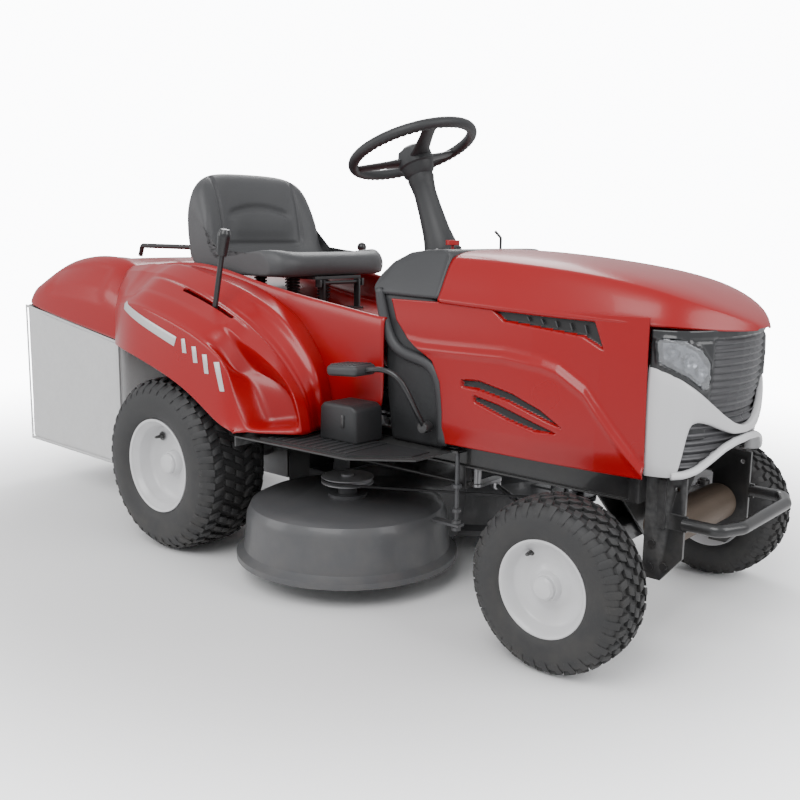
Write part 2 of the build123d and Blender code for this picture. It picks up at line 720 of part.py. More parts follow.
def fender_solid(inset):
    half = fender_half - inset
    body = side_plate(fender_side(0), -half, half, inset=inset)
    seat_well = [(well_back_x - 20, 1000), (well_back_x, well_back_z), (well_mid_x, well_mid_z),
                 (well_front_x, well_front_z), (fender_front + 60,
                                                well_front_z - 12), (fender_front + 60, 1000)]
    body -= side_plate(seat_well, -platform_half - inset, platform_half + inset, inset=-inset)
    for side in (1, -1):
        edge = side * (fender_half - inset)
        nose = [(430, 300), (fender_front - 70, 620), (fender_front + 80, 680), (fender_front + 80, 300)]
        body -= side_plate(nose, side * (platform_half + 30 + inset), side * (fender_half + 40),
                           inset=-inset)
        slope = [(side * (fender_half + 60), 800), (side * (fender_half + 60), 560), (edge, 588 - inset),
                 (side * (fender_half - 150), 800 - inset)]
        wedge = extrude(cross_section(fender_back - 40, slope), amount=fender_front - fender_back + 120,
                        dir=(1, 0, 0))
        body -= wedge
    return body


def fender():
    hollow = fender_solid(panel)
    shell = fender_solid(0) - hollow - Pos(0, 0, -60) * (fender_solid(panel) & box(-900, 900, -600, 600,
                                                                                   0, 640))
    shell -= box(fender_back + 50, 520, -230, 230, 300, 500)
    slot = box(-8, 182, -392, -368, 560, 900)
    shell -= slot
    shell -= box(-126, -40, brake_y - 12, brake_y + 12, 560, 900)
    for side in (1, -1):
        y0, y1 = side * 21, side * 60
        knuckle = rod((bag_hinge_x, y0, bag_hinge_z), (bag_hinge_x, y1, bag_hinge_z), bag_hinge_r)
        knuckle += box(bag_hinge_x, fender_back + 1, y0, y1, bag_hinge_z - 2, bag_hinge_z + 2)
        knuckle -= rod((bag_hinge_x, y0 - side, bag_hinge_z), (bag_hinge_x, y1 + side, bag_hinge_z),
                       bag_hinge_pin_r + fit)
        shell += knuckle
    save("rear_fender", shell)


def footboards():
    for name, side in (("left", 1), ("right", -1)):
        inner = side * rail_out
        outline = [(284, side * footboard_half), (643, side * (footboard_half - 18)), (765, side * 350),
                   (765, inner), (284, inner)]
        plate = plan_plate(outline, footboard_z, footboard_z + plate_t)
        rib_back = box(284, 288, inner, side * footboard_half, footboard_z - 22, footboard_z)
        hook = box(420, 700, inner, inner + side * 40, footboard_z - 8, footboard_z)
        save("footboard_" + name, plate + rib_back + hook)


def dash():
    foot = footboard_z + plate_t
    outline = [(583, foot), (560, 600), (517, 702), (530, 748), (600, 800), (686, 801), (722, 692),
               (752, foot)]
    shell = side_plate(outline, -dash_half, dash_half)
    hollow = side_plate(outline, -dash_half + panel, dash_half - panel, inset=panel)
    shell = shell - hollow - Pos(0, 0, -20) * hollow
    shell -= rod(column_point(700), column_point(860), 26)
    shell -= disc(knob_x, knob_y, 780, 4 + gap, 60)
    shell -= box(throttle_x - 40, throttle_x + 18, throttle_y - 5, throttle_y + 5, 780, 860)
    lug = box(throttle_x - 8, throttle_x + 8, throttle_y + 8, throttle_y + 12, throttle_z - 8, 798)
    shell += lug - rod((throttle_x, 100, throttle_z), (throttle_x, 140, throttle_z), 5 + fit)
    for side in (1, -1):
        shell -= box(500, 800, side * (rail_out - rail_web - 2), side * (rail_out + 2), 300,
                     rail_z + rail_h + gap)
    shell -= box(sector_x - 64, sector_x + 42, sector_y - 37, 40, 300, gearbox_z + gearbox_h + gap)
    shell -= box(sector_x - 64, sector_x + 42, -230, 230, 300, gearbox_z + gap)
    case = box(457, 579, -346, -262, footboard_z + plate_t, 442)
    case = fillet(case.edges().filter_by(Axis.Y), 14)
    save("dash_console", shell, case)


def hood_section(x, inset):
    """Half-hood outline at x, ordered round the section."""
    front = front_axle_x + fascia_x
    t = (x - hood_back_x) / (front - hood_back_x)
    w = hood_half + (hood_front_half - hood_half) * t - inset
    crown = hood_top - 6 * t - 52 * t * t - inset
    step = 692 - 12 * t
    low = hood_bottom
    return [(-w, low), (-w, step - 20), (-w + 14, step + 22), (-w + 70, crown - 22), (-70, crown),
            (70, crown),
            (w - 70, crown - 22), (w - 14, step + 22), (w, step - 20), (w, low)]


def nose_section(x, inset):
    front = front_axle_x + fascia_x
    t = (x - front) / (front_axle_x + nose_x - front)
    w = hood_front_half - 30 * t - 66 * t * t - inset
    crown = hood_top - 58 - 26 * t - 46 * t * t - inset
    low = nose_low - (6 if inset else 0)
    side = low + 0.35 * (crown - low)
    return [(-w, low), (-w, side), (-w + 60, low + 0.86 * (crown - low)), (-60, crown), (60, crown),
            (w - 60, low + 0.86 * (crown - low)), (w, side), (w, low)]


def hood():
    front = front_axle_x + fascia_x
    tip = front_axle_x + nose_x
    middle = (hood_back_x + front) / 2
    stations = [hood_back_x, middle - 110, middle + 110, front]
    outer = loft_shape([(x, hood_section(x, 0)) for x in stations])
    hollow = [(x, [(y, z if z > hood_bottom else z - 5) for y, z in hood_section(x, 3)]) for x in stations]
    hollow[0] = (hood_back_x - 1, hollow[0][1])
    hollow[-1] = (front + 1, hollow[-1][1])
    middle = (front + tip) / 2
    cap = loft_shape([(x, nose_section(x, 0)) for x in (front, middle, tip)])
    inner = loft_shape([(front - 1, nose_section(front, 3)), (middle, nose_section(middle, 3)),
                        (tip - 4, nose_section(tip, 3))])
    save("hood_shell", outer - loft_shape(hollow) + (cap - inner))


def fascia():
    x0 = front_axle_x + fascia_x
    x1 = front_axle_x + 204
    half = hood_front_half - 3
    low, high = 386.0, nose_low
    plan = [(x0, -half), (x1 - 70, -half + 6), (x1 - 16, -half + 70), (x1, -60), (x1, 60),
            (x1 - 16, half - 70),
            (x1 - 70, half - 6), (x0, half)]
    inner = [(x0 - 1, -half + 4), (x1 - 72, -half + 10), (x1 - 20, -half + 73), (x1 - 4, -60), (x1 - 4, 60),
             (x1 - 20, half - 73), (x1 - 72, half - 10), (x0 - 1, half - 4)]
    wall = plan_plate(plan, low, high) - plan_plate(inner, low - 1, high + 1)
    window = box(x1 - 60, x1 + 10, -half + 60, half - 60, 470, high + 5)
    vent = box(x1 - 40, x1 + 10, -110, 110, 400, 455)
    chin = box(x1 - 60, x1 - 10, -104, 104, 356, low)
    body = wall - window - vent + chin
    back = make_face(Plane(origin=(0, 0, 466)) * Polyline(*inner, close=True))
    screen = extrude(offset(back, amount=-gap) - offset(back, amount=-6), amount=high - 4 - 466,
                     dir=(0, 0, 1))
    screen &= box(x1 - 70, x1 + 5, -half + 48, half - 48, 400, high)
    lower = box(x1 - 10, x1 - 4 - gap, -118, 118, 396, 459) & plan_plate(inner, 390, 465)
    lamps = []
    for side in (1, -1):
        lamps.append(box(x1 - 38, x1 - 27, side * 95, side * 150, 560, 630))
    save("grille", screen, lower, *lamps)
    arms = []
    for side in (1, -1):
        y0, y1 = side * 122, side * 128
        tip = x1 - 16
        outline = [(hinge_x() - 10, hinge_z() - 10), (hinge_x() + 12, hinge_z() - 10), (tip, low + 4),
                   (tip, low + 60), (hinge_x() + 4, low + 30)]
        arm = side_plate(outline, y0, y1)
        arms.append(arm + rod((hinge_x(), y0, hinge_z()), (hinge_x(), side * 168, hinge_z()), 5))
    save("front_fascia", body, *arms)


# ---------------------------------------------------------------- seat and controls
def seat():
    cushion = [(seat_front, seat_under), (seat_front, seat_top - 22), (seat_front - 24, seat_top),
               (seat_rear + 86, seat_top - 18), (seat_rear + 40, seat_back_top - 30), (seat_rear + 18,
                                                                                       seat_back_top),
               (seat_rear, seat_back_top - 24), (seat_rear, seat_under + 40), (seat_rear + 30, seat_under)]
    body = side_plate(cushion, -seat_half, seat_half)
    body = fillet(body.edges().filter_by(Axis.Z), 30) if body.edges().filter_by(Axis.Z) else body
    save("seat", body)
    z = seat_under
    base = box(-120, seat_front - 20, -90, 90, z - 8, z)
    pin_x, pin_z = seat_front - 14, z - 18
    ears = []
    for side in (1, -1):
        ears.append(box(pin_x - 10, pin_x + 10, side * 80, side * 86, pin_z - 10, z - 8))
    pan = base + ears[0] + ears[1]
    pan += rod((pin_x, -84, pin_z), (pin_x, 84, pin_z), 5)
    base_z = platform_z(pin_x - 30) + gap
    bracket = box(pin_x - 30, pin_x + 16, -78, 78, base_z, base_z + 6)
    for side in (1, -1):
        lug = box(pin_x - 10, pin_x + 10, side * 66, side * 72, base_z + 6, pin_z + 9)
        lug -= rod((pin_x, side * 60, pin_z), (pin_x, side * 78, pin_z), 5 + fit)
        bracket += lug
    save("seat_bracket", bracket)
    springs = []
    for x in (-80, 60):
        for side in (1, -1):
            spring = None
            top = z - 8
            foot = platform_z(x - 19) + gap
            turns = int((top - foot - 6) / 9)
            for i in range(turns):
                turn = Pos(x, side * 60, top - 6 - i * 9) * Torus(16, 3.2)
                spring = turn if spring is None else spring + turn
            core = disc(x, side * 60, foot, 13.5, top - foot)
            springs.append(spring + core)
    save("seat_pan", pan, *springs)


def pedals():
    for name, side in (("right", -1), ("left", 1)):
        y = side * 252
        x, z = pedal_x, pedal_z
        arm = bent_rod([(x, y, z), (650, y, 430), (600, side * 322, 500), (552, side * 322, 510)], 7, 14)
        hub = rod((x, side * (dash_half + gap), z), (x, side * 264, z), 12)
        pad = Pos(540, side * 322, 524) * Rot(0, -18, 0) * Box(70, 84, 26)
        pad = fillet(pad.edges(), 8)
        save("pedal_" + name, hub + arm + pad)


def controls():
    stem = disc(knob_x, knob_y, 770, 4, 44) + disc(knob_x, knob_y, 772, 8, 8)
    head = disc(knob_x, knob_y, 812, 17, 12)
    save("blade_switch_knob", stem + head)
    x, y, z = throttle_x, throttle_y, throttle_z
    lever = bent_rod([(x, y, z), (x, y, z + 60), (x - 18, y, z + 76)], 3.5, 5)
    lever += rod((x, y - 14, z), (x, y + 14, z), 5)
    save("throttle_lever", lever)
    x, y, z = brake_x, brake_y, brake_z
    left = bent_rod([(x, y, z), (x - 4, y, z + 140), (x, y, z + 222)], 5, 30)
    left += rod((x, rail_out - rail_web + 1, z), (x, y, z), 6) + rod((x, rail_out - 5, z),
                                                                     (x, rail_out + 3, z), 12)
    ball = Pos(x, y, z + 230) * Sphere(15)
    save("parking_brake_lever", left + ball)


# ---------------------------------------------------------------- grass bag
def lid_top():
    back = -rear_overhang
    return [(bag_front, bag_hinge_z - 6), (-470, 758), (-620, 763), (-760, 742),
            (back + 34, bag_lid_back + 8)]


def lid_height(x):
    """Height of the lid's top at x."""
    points = lid_top()
    for (xa, za), (xb, zb) in zip(points, points[1:]):
        if xb <= x <= xa:
            return za + (zb - za) * (x - xa) / (xb - xa)
    return points[-1][1]


def bag():
    back = -rear_overhang
    b = bag_half
    rim_front, rim_back = 512.0, 590.0
    outline = [(bag_front, bag_floor), (bag_front, rim_front), (back + 8, rim_back), (back, bag_floor + 8)]
    cloth = side_plate(outline, -b, b)
    hollow = side_plate(outline, -b + bag_wall, b - bag_wall, inset=bag_wall)
    cloth = cloth - hollow - Pos(0, 0, bag_wall * 2) * hollow
    cloth -= box(bag_front - 20, bag_front + 20, -b + 60, b - 60, bag_floor + 60, 480)
    save("bag_cloth", cloth)
    lid = [(bag_front, rim_front + gap)] + lid_top() + [(back + 8, rim_back + gap)]
    half = b + 6
    shell = side_plate(lid, -half, half)
    hollow = side_plate(lid, -half + panel, half - panel, inset=panel)
    shell = shell - hollow - Pos(0, 0, -panel * 1.5) * hollow
    shell -= box(bag_front - 20, bag_front + 20, -b + 60, b - 60, 500, 700)
    knuckle = rod((bag_hinge_x, -19, bag_hinge_z), (bag_hinge_x, 19, bag_hinge_z), bag_hinge_r)
    knuckle += box(bag_front - 1, bag_hinge_x, -19, 19, bag_hinge_z - 8, bag_hinge_z - 4)
    pin = rod((bag_hinge_x, -60, bag_hinge_z), (bag_hinge_x, 60, bag_hinge_z), bag_hinge_pin_r)
    save("bag_lid", shell + knuckle + pin)
    handle_r, hoop_r = 8.0, 6.0
    grip_z = 783.0
    front_foot, back_foot = -450.0, -742.0
    front_rise, back_rise = 6.4, 4.2   # the tubes lean, so their cut ends stand this far above the lid
    tubes = [bent_rod([(front_foot, -20, lid_height(front_foot) + front_rise), (front_foot - 6, -20, grip_z),
                       (back_foot + 14, -20, grip_z), (back_foot, -20,
                                                       lid_height(back_foot) + back_rise)], handle_r, 10)]
    w = b - bag_wall - hoop_r - gap
    for x, top in ((bag_front - 20, 500.0), (back + 30, 570.0)):
        floor = bag_floor + 8 * (bag_front - x) / (bag_front - back) + bag_wall + hoop_r + gap
        tubes.append(bent_rod([(x, -w, top), (x, -w, floor), (x, w, floor), (x, w, top)], hoop_r, 30))
    save("bag_frame", *tubes)


os.makedirs("parts", exist_ok=True)
wheels()
frame()
front_brackets()
bumper()
front_axle()
knuckles()
linkage()
steering()
deck()
spindles()
belts()
lift_gear()
engine()
rear_drive()
chute()
tank_and_battery()
fender()
footboards()
dash()
hood()
fascia()
seat()
pedals()
controls()
bag()
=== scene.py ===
import json
import math
import bpy
import bmesh
from mathutils import Matrix, Vector

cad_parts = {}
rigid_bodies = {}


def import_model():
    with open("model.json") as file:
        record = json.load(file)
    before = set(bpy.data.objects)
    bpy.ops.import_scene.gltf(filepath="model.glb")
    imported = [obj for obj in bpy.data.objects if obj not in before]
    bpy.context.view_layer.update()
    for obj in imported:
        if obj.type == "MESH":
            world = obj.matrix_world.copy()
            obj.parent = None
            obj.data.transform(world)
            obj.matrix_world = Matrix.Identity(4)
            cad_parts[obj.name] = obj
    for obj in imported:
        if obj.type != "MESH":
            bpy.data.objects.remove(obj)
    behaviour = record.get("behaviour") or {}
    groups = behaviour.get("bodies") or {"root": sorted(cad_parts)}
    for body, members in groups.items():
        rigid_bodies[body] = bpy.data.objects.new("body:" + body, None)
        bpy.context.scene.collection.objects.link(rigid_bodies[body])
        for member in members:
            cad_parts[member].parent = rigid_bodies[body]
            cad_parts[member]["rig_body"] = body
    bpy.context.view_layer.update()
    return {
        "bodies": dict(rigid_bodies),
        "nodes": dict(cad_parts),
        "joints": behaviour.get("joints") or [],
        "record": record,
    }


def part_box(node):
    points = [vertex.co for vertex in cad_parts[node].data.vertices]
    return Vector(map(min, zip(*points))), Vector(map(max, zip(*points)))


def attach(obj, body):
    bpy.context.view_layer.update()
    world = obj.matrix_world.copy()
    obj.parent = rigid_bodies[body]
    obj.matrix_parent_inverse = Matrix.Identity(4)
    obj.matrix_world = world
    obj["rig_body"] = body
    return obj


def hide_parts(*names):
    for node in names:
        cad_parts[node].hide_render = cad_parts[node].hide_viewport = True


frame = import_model()

# every size below is in millimetres from the rear axle, the centre line and the ground
mm = 0.001
tyreLow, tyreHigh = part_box("rear_tyre_right")
axleX = (tyreLow.x + tyreHigh.x) / 2
right, left = -1, 1


def at(x, y, z):
    return Vector((axleX + x * mm, y * mm, z * mm))


def between(value, low, high):   # 0 below low, 1 above high, eased in the middle
    t = min(max((value - low) / (high - low), 0), 1)
    return t * t * (3 - 2 * t)


def along(table, value):   # straight-line reading of a table of (place, size) pairs
    if value <= table[0][0]:
        return table[0][1]
    for (x0, y0), (x1, y1) in zip(table, table[1:]):
        if value <= x1:
            return y0 + (y1 - y0) * (value - x0) / (x1 - x0)
    return table[-1][1]


# ---- finishes
def newGroup(name, inputs, outputs):
    group = bpy.data.node_groups.new(name, "ShaderNodeTree")
    for label, kind, value in inputs:
        socket = group.interface.new_socket(label, in_out="INPUT", socket_type=kind)
        if value is not None:
            socket.default_value = value
    for label, kind in outputs:
        group.interface.new_socket(label, in_out="OUTPUT", socket_type=kind)
    entry = group.nodes.new("NodeGroupInput")
    leave = group.nodes.new("NodeGroupOutput")
    return group, entry, leave


def addMath(tree, operation, first, second=None, clamp=False):
    node = tree.nodes.new("ShaderNodeMath")
    node.operation = operation
    node.use_clamp = clamp
    for socket, value in zip(node.inputs, (first, second)):
        if value is None:
            continue
        if isinstance(value, (int, float)):
            socket.default_value = value
        else:
            tree.links.new(value, socket)
    return node.outputs[0]


def grainGroup():   # fine moulded or cast grain, and slow colour drift
    group, entry, leave = newGroup(
        "mouldGrain",
        [("Position", "NodeSocketVector", None), ("Grain size", "NodeSocketFloat", 400.0)],
        [("Height", "NodeSocketFloat"), ("Drift", "NodeSocketFloat")],
    )
    fine = group.nodes.new("ShaderNodeTexNoise")
    fine.inputs["Detail"].default_value = 4
    fine.inputs["Roughness"].default_value = 0.6
    slow = group.nodes.new("ShaderNodeTexNoise")
    slow.inputs["Scale"].default_value = 5.5
    slow.inputs["Detail"].default_value = 3
    links = group.links
    links.new(entry.outputs["Position"], fine.inputs["Vector"])
    links.new(entry.outputs["Grain size"], fine.inputs["Scale"])
    links.new(entry.outputs["Position"], slow.inputs["Vector"])
    links.new(fine.outputs["Fac"], leave.inputs["Height"])
    links.new(slow.outputs["Fac"], leave.inputs["Drift"])
    return group


def grimeGroup():   # road dust that thins out with height, broken up by noise
    group, entry, leave = newGroup(
        "lowDust",
        [("Position", "NodeSocketVector", None), ("Top", "NodeSocketFloat", 0.45)],
        [("Mask", "NodeSocketFloat")],
    )
    split = group.nodes.new("ShaderNodeSeparateXYZ")
    patch = group.nodes.new("ShaderNodeTexNoise")
    patch.inputs["Scale"].default_value = 22
    patch.inputs["Detail"].default_value = 5
    links = group.links
    links.new(entry.outputs["Position"], split.inputs[0])
    links.new(entry.outputs["Position"], patch.inputs["Vector"])
    height = addMath(group, "DIVIDE", split.outputs["Z"], entry.outputs["Top"])
    fade = addMath(group, "SUBTRACT", 1.0, height, clamp=True)
    blotch = addMath(group, "SUBTRACT", patch.outputs["Fac"], 0.38, clamp=True)
    links.new(addMath(group, "MULTIPLY", fade, addMath(group, "MULTIPLY", blotch, 3.0)), leave.inputs["Mask"])
    return group


def wearGroup():   # rubbed edges, from how sharply the surface turns
    group, entry, leave = newGroup(
        "edgeRub",
        [("Position", "NodeSocketVector", None), ("Reach", "NodeSocketFloat", 0.54)],
        [("Mask", "NodeSocketFloat")],
    )
    shape = group.nodes.new("ShaderNodeNewGeometry")
    speckle = group.nodes.new("ShaderNodeTexNoise")
    speckle.inputs["Scale"].default_value = 90
    speckle.inputs["Detail"].default_value = 6
    links = group.links
    links.new(entry.outputs["Position"], speckle.inputs["Vector"])
    sharp = addMath(group, "SUBTRACT", shape.outputs["Pointiness"], entry.outputs["Reach"], clamp=True)
    sharp = addMath(group, "MULTIPLY", sharp, 14.0, clamp=True)
    links.new(addMath(group, "MULTIPLY", sharp, speckle.outputs["Fac"]), leave.inputs["Mask"])
    return group


def weaveGroup():   # over-and-under threads in two directions
    group, entry, leave = newGroup(
        "plainWeave",
        [("Position", "NodeSocketVector", None), ("Threads", "NodeSocketFloat", 900.0)],
        [("Height", "NodeSocketFloat"), ("Fibre", "NodeSocketFloat")],
    )
    links = group.links
    threads = []
    for direction in ("X", "Z"):
        wave = group.nodes.new("ShaderNodeTexWave")
        wave.bands_direction = direction
        wave.inputs["Distortion"].default_value = 0.6
        wave.inputs["Detail"].default_value = 1
        links.new(entry.outputs["Position"], wave.inputs["Vector"])
        links.new(entry.outputs["Threads"], wave.inputs["Scale"])
        threads.append(wave.outputs["Fac"])
    fibre = group.nodes.new("ShaderNodeTexNoise")
    fibre.inputs["Scale"].default_value = 60
    fibre.inputs["Detail"].default_value = 6
    links.new(entry.outputs["Position"], fibre.inputs["Vector"])
    links.new(addMath(group, "MAXIMUM", *threads), leave.inputs["Height"])
    links.new(fibre.outputs["Fac"], leave.inputs["Fibre"])
    return group


mouldGrain, lowDust, edgeRub, plainWeave = grainGroup(), grimeGroup(), wearGroup(), weaveGroup()


def finish(name, colour, rough, metal=0.0, coat=0.0, grain=(400, 0.02), drift=0.06, dust=0.0, rub=None,
           weave=None, sheen=0.0, dustTop=0.45):
    material = bpy.data.materials.new(name)
    material.use_nodes = True
    tree = material.node_tree
    shader = tree.nodes["Principled BSDF"]
    shader.inputs["Metallic"].default_value = metal
    shader.inputs["Coat Weight"].default_value = coat
    shader.inputs["Coat Roughness"].default_value = 0.06
    shader.inputs["Sheen Weight"].default_value = sheen
    place = tree.nodes.new("ShaderNodeTexCoord").outputs["Object"]
    texture = tree.nodes.new("ShaderNodeGroup")
    texture.node_tree = mouldGrain
    texture.inputs["Grain size"].default_value = grain[0]
    tree.links.new(place, texture.inputs["Position"])
    height, tone = texture.outputs["Height"], texture.outputs["Drift"]
    if weave:
        cloth = tree.nodes.new("ShaderNodeGroup")
        cloth.node_tree = plainWeave
        cloth.inputs["Threads"].default_value = weave
        tree.links.new(place, cloth.inputs["Position"])
        height, tone = cloth.outputs["Height"], cloth.outputs["Fibre"]

    def blendIn(under, over, mask, amount):
        mix = tree.nodes.new("ShaderNodeMix")
        mix.data_type = "RGBA"
        if isinstance(under, tuple):
            mix.inputs["A"].default_value = (*under, 1)
        else:
            tree.links.new(under, mix.inputs["A"])
        mix.inputs["B"].default_value = (*over, 1)
        tree.links.new(addMath(tree, "MULTIPLY", mask, amount), mix.inputs["Factor"])
        return mix.outputs["Result"]

    darker = tuple(c * (1 - 2.5 * drift) for c in colour)
    shade = blendIn(colour, darker, tone, 1.0)
    roughness = addMath(tree, "ADD", addMath(tree, "MULTIPLY", tone, 0.16), rough - 0.08)
    if rub:
        rubbed = tree.nodes.new("ShaderNodeGroup")
        rubbed.node_tree = edgeRub
        tree.links.new(place, rubbed.inputs["Position"])
        shade = blendIn(shade, rub, rubbed.outputs["Mask"], 0.6)
    if dust:
        dirt = tree.nodes.new("ShaderNodeGroup")
        dirt.node_tree = lowDust
        dirt.inputs["Top"].default_value = dustTop
        tree.links.new(place, dirt.inputs["Position"])
        shade = blendIn(shade, (0.33, 0.29, 0.23), dirt.outputs["Mask"], dust)
        duller = addMath(tree, "MULTIPLY", dirt.outputs["Mask"], 0.3 * dust)
        roughness = addMath(tree, "ADD", roughness, duller, clamp=True)
    tree.links.new(shade, shader.inputs["Base Color"])
    tree.links.new(roughness, shader.inputs["Roughness"])
    bump = tree.nodes.new("ShaderNodeBump")
    bump.inputs["Strength"].default_value = grain[1]
    bump.inputs["Distance"].default_value = 0.001
    tree.links.new(height, bump.inputs["Height"])
    tree.links.new(bump.outputs["Normal"], shader.inputs["Normal"])
    return material


looks = {
    "redBody": finish("redBody", (0.33, 0.0012, 0.003), 0.3, coat=0.12, grain=(140, 0.03), drift=0.04),
    "darkPlastic": finish("darkPlastic", (0.028, 0.029, 0.031), 0.48, grain=(900, 0.35), drift=0.08,
                          dust=0.05),
    "capPlastic": finish("capPlastic", (0.045, 0.046, 0.049), 0.46, grain=(900, 0.3), drift=0.08),
    "paleFascia": finish("paleFascia", (0.68, 0.68, 0.69), 0.32, coat=0.3, grain=(300, 0.05), drift=0.03),
    "silverStrip": finish("silverStrip", (0.62, 0.6, 0.6), 0.3, metal=0.25, grain=(600, 0.05), drift=0.03),
    "grilleBlack": finish("grilleBlack", (0.022, 0.023, 0.025), 0.3, coat=0.4, grain=(500, 0.08), drift=0.1),
    "grilleMesh": finish("grilleMesh", (0.085, 0.085, 0.09), 0.38, metal=0.3, grain=(500, 0.1), drift=0.1),
    "lampBowl": finish("lampBowl", (0.4, 0.41, 0.43), 0.16, metal=0.9, grain=(200, 0.02), drift=0.04),
    "seatVinyl": finish("seatVinyl", (0.062, 0.063, 0.066), 0.46, grain=(520, 0.5), drift=0.12, sheen=0.1),
    "bagCloth": finish("bagCloth", (0.66, 0.66, 0.66), 0.85, grain=(300, 0.3), drift=0.05, weave=420,
                       sheen=0.2, dust=0.12),
    "tyreRubber": finish("tyreRubber", (0.03, 0.03, 0.031), 0.62, grain=(260, 0.3), drift=0.1, dust=0.06),
    "rimPaint": finish("rimPaint", (0.66, 0.66, 0.67), 0.34, coat=0.3, grain=(300, 0.08), drift=0.05,
                       dust=0.12),
    "blackSteel": finish("blackSteel", (0.018, 0.018, 0.019), 0.34, coat=0.3, grain=(350, 0.12),
                         rub=(0.2, 0.2, 0.2), dust=0.1),
    "deckPaint": finish("deckPaint", (0.075, 0.076, 0.08), 0.42, coat=0.15, grain=(260, 0.2), drift=0.06,
                        dust=0.08, dustTop=0.3),
    "pulleyPaint": finish("pulleyPaint", (0.36, 0.36, 0.37), 0.35, metal=0.4, grain=(300, 0.1), dust=0.1),
    "bareSteel": finish("bareSteel", (0.45, 0.45, 0.46), 0.3, metal=1.0, grain=(500, 0.12), drift=0.12,
                        dust=0.08),
    "castAlloy": finish("castAlloy", (0.35, 0.35, 0.36), 0.5, metal=0.8, grain=(420, 0.5), drift=0.12,
                        dust=0.15),
    "beltRubber": finish("beltRubber", (0.022, 0.022, 0.023), 0.7, grain=(700, 0.4), drift=0.1),
    "redKnob": finish("redKnob", (0.42, 0.003, 0.005), 0.3, coat=0.3, grain=(300, 0.05)),
    "burntSteel": finish("burntSteel", (0.16, 0.12, 0.09), 0.55, metal=0.8, grain=(300, 0.4), drift=0.2),
    "ventBlack": finish("ventBlack", (0.012, 0.012, 0.013), 0.5, grain=(700, 0.2)),
}


def lensMaterial():
    material = bpy.data.materials.new("clearLens")
    material.use_nodes = True
    tree = material.node_tree
    shader = tree.nodes["Principled BSDF"]
    shader.inputs["Roughness"].default_value = 0.04
    shader.inputs["Transmission Weight"].default_value = 0.85
    shader.inputs["IOR"].default_value = 1.45
    texture = tree.nodes.new("ShaderNodeGroup")
    texture.node_tree = mouldGrain
    texture.inputs["Grain size"].default_value = 60
    place = tree.nodes.new("ShaderNodeTexCoord").outputs["Object"]
    tree.links.new(place, texture.inputs["Position"])
    bump = tree.nodes.new("ShaderNodeBump")
    bump.inputs["Strength"].default_value = 0.05
    bump.inputs["Distance"].default_value = 0.001
    tree.links.new(texture.outputs["Height"], bump.inputs["Height"])
    tree.links.new(bump.outputs["Normal"], shader.inputs["Normal"])
    shader.inputs["Base Color"].default_value = (0.85, 0.87, 0.9, 1)
    return material


looks["clearLens"] = lensMaterial()
print("finishes ready:", len(looks))


# ---- tools for making pieces
def cage(rows, creasedColumns=(), creasedRows=(), crease=0.7):
    # a grid whose corners go to the rows' points; u runs along a row and v from row to row
    bm = bmesh.new()
    across, down = len(rows[0]), len(rows)
    u, v = bm.verts.layers.float.new("u"), bm.verts.layers.float.new("v")
    sharpness = bm.edges.layers.float.new("crease_edge")
    u, v = bm.verts.layers.float["u"], bm.verts.layers.float["v"]
    bmesh.ops.create_grid(bm, x_segments=across - 1, y_segments=down - 1, size=0.5)
    order = sorted(bm.verts, key=lambda p: (round(p.co.y, 5), round(p.co.x, 5)))
    place = {}
    for index, vertex in enumerate(order):
        row, column = divmod(index, across)
        vertex.co = at(*rows[row][column])
        vertex[u], vertex[v] = column, row
        place[vertex] = (row, column)
    for edge in bm.edges:
        (r0, c0), (r1, c1) = place[edge.verts[0]], place[edge.verts[1]]
        if (c0 == c1 and c0 in creasedColumns) or (r0 == r1 and r0 in creasedRows):
            edge[sharpness] = crease
    return bm


def refined(bm, levels):   # the cage after subdivision, as a new bmesh that keeps u and v
    mesh = bpy.data.meshes.new("cage")
    bm.to_mesh(mesh)
    bm.free()
    carrier = bpy.data.objects.new("cage", mesh)
    bpy.context.scene.collection.objects.link(carrier)
    smooth = carrier.modifiers.new("smooth", "SUBSURF")
    smooth.levels = smooth.render_levels = levels
    fine = bmesh.new()
    fine.from_object(carrier, bpy.context.evaluated_depsgraph_get())
    bpy.data.objects.remove(carrier)
    bpy.data.meshes.remove(mesh)
    return fine


def faceOut(bm, direction):   # turns an open skin so that its faces look along direction on the whole
    bm.normal_update()
    total = sum((f.normal * f.calc_area() for f in bm.faces), Vector())
    if total.dot(Vector(direction)) < 0:
        bmesh.ops.reverse_faces(bm, faces=bm.faces)


def joined(parts):   # several bmeshes in one
    whole = bmesh.new()
    for part in parts:
        mesh = bpy.data.meshes.new("part")
        part.to_mesh(mesh)
        part.free()
        whole.from_mesh(mesh)
        bpy.data.meshes.remove(mesh)
    return whole


def mirrored(bm):   # a copy across the centre line
    other = bm.copy()
    bmesh.ops.scale(other, vec=(1, -1, 1), verts=other.verts)
    bmesh.ops.reverse_faces(other, faces=other.faces)
    return other


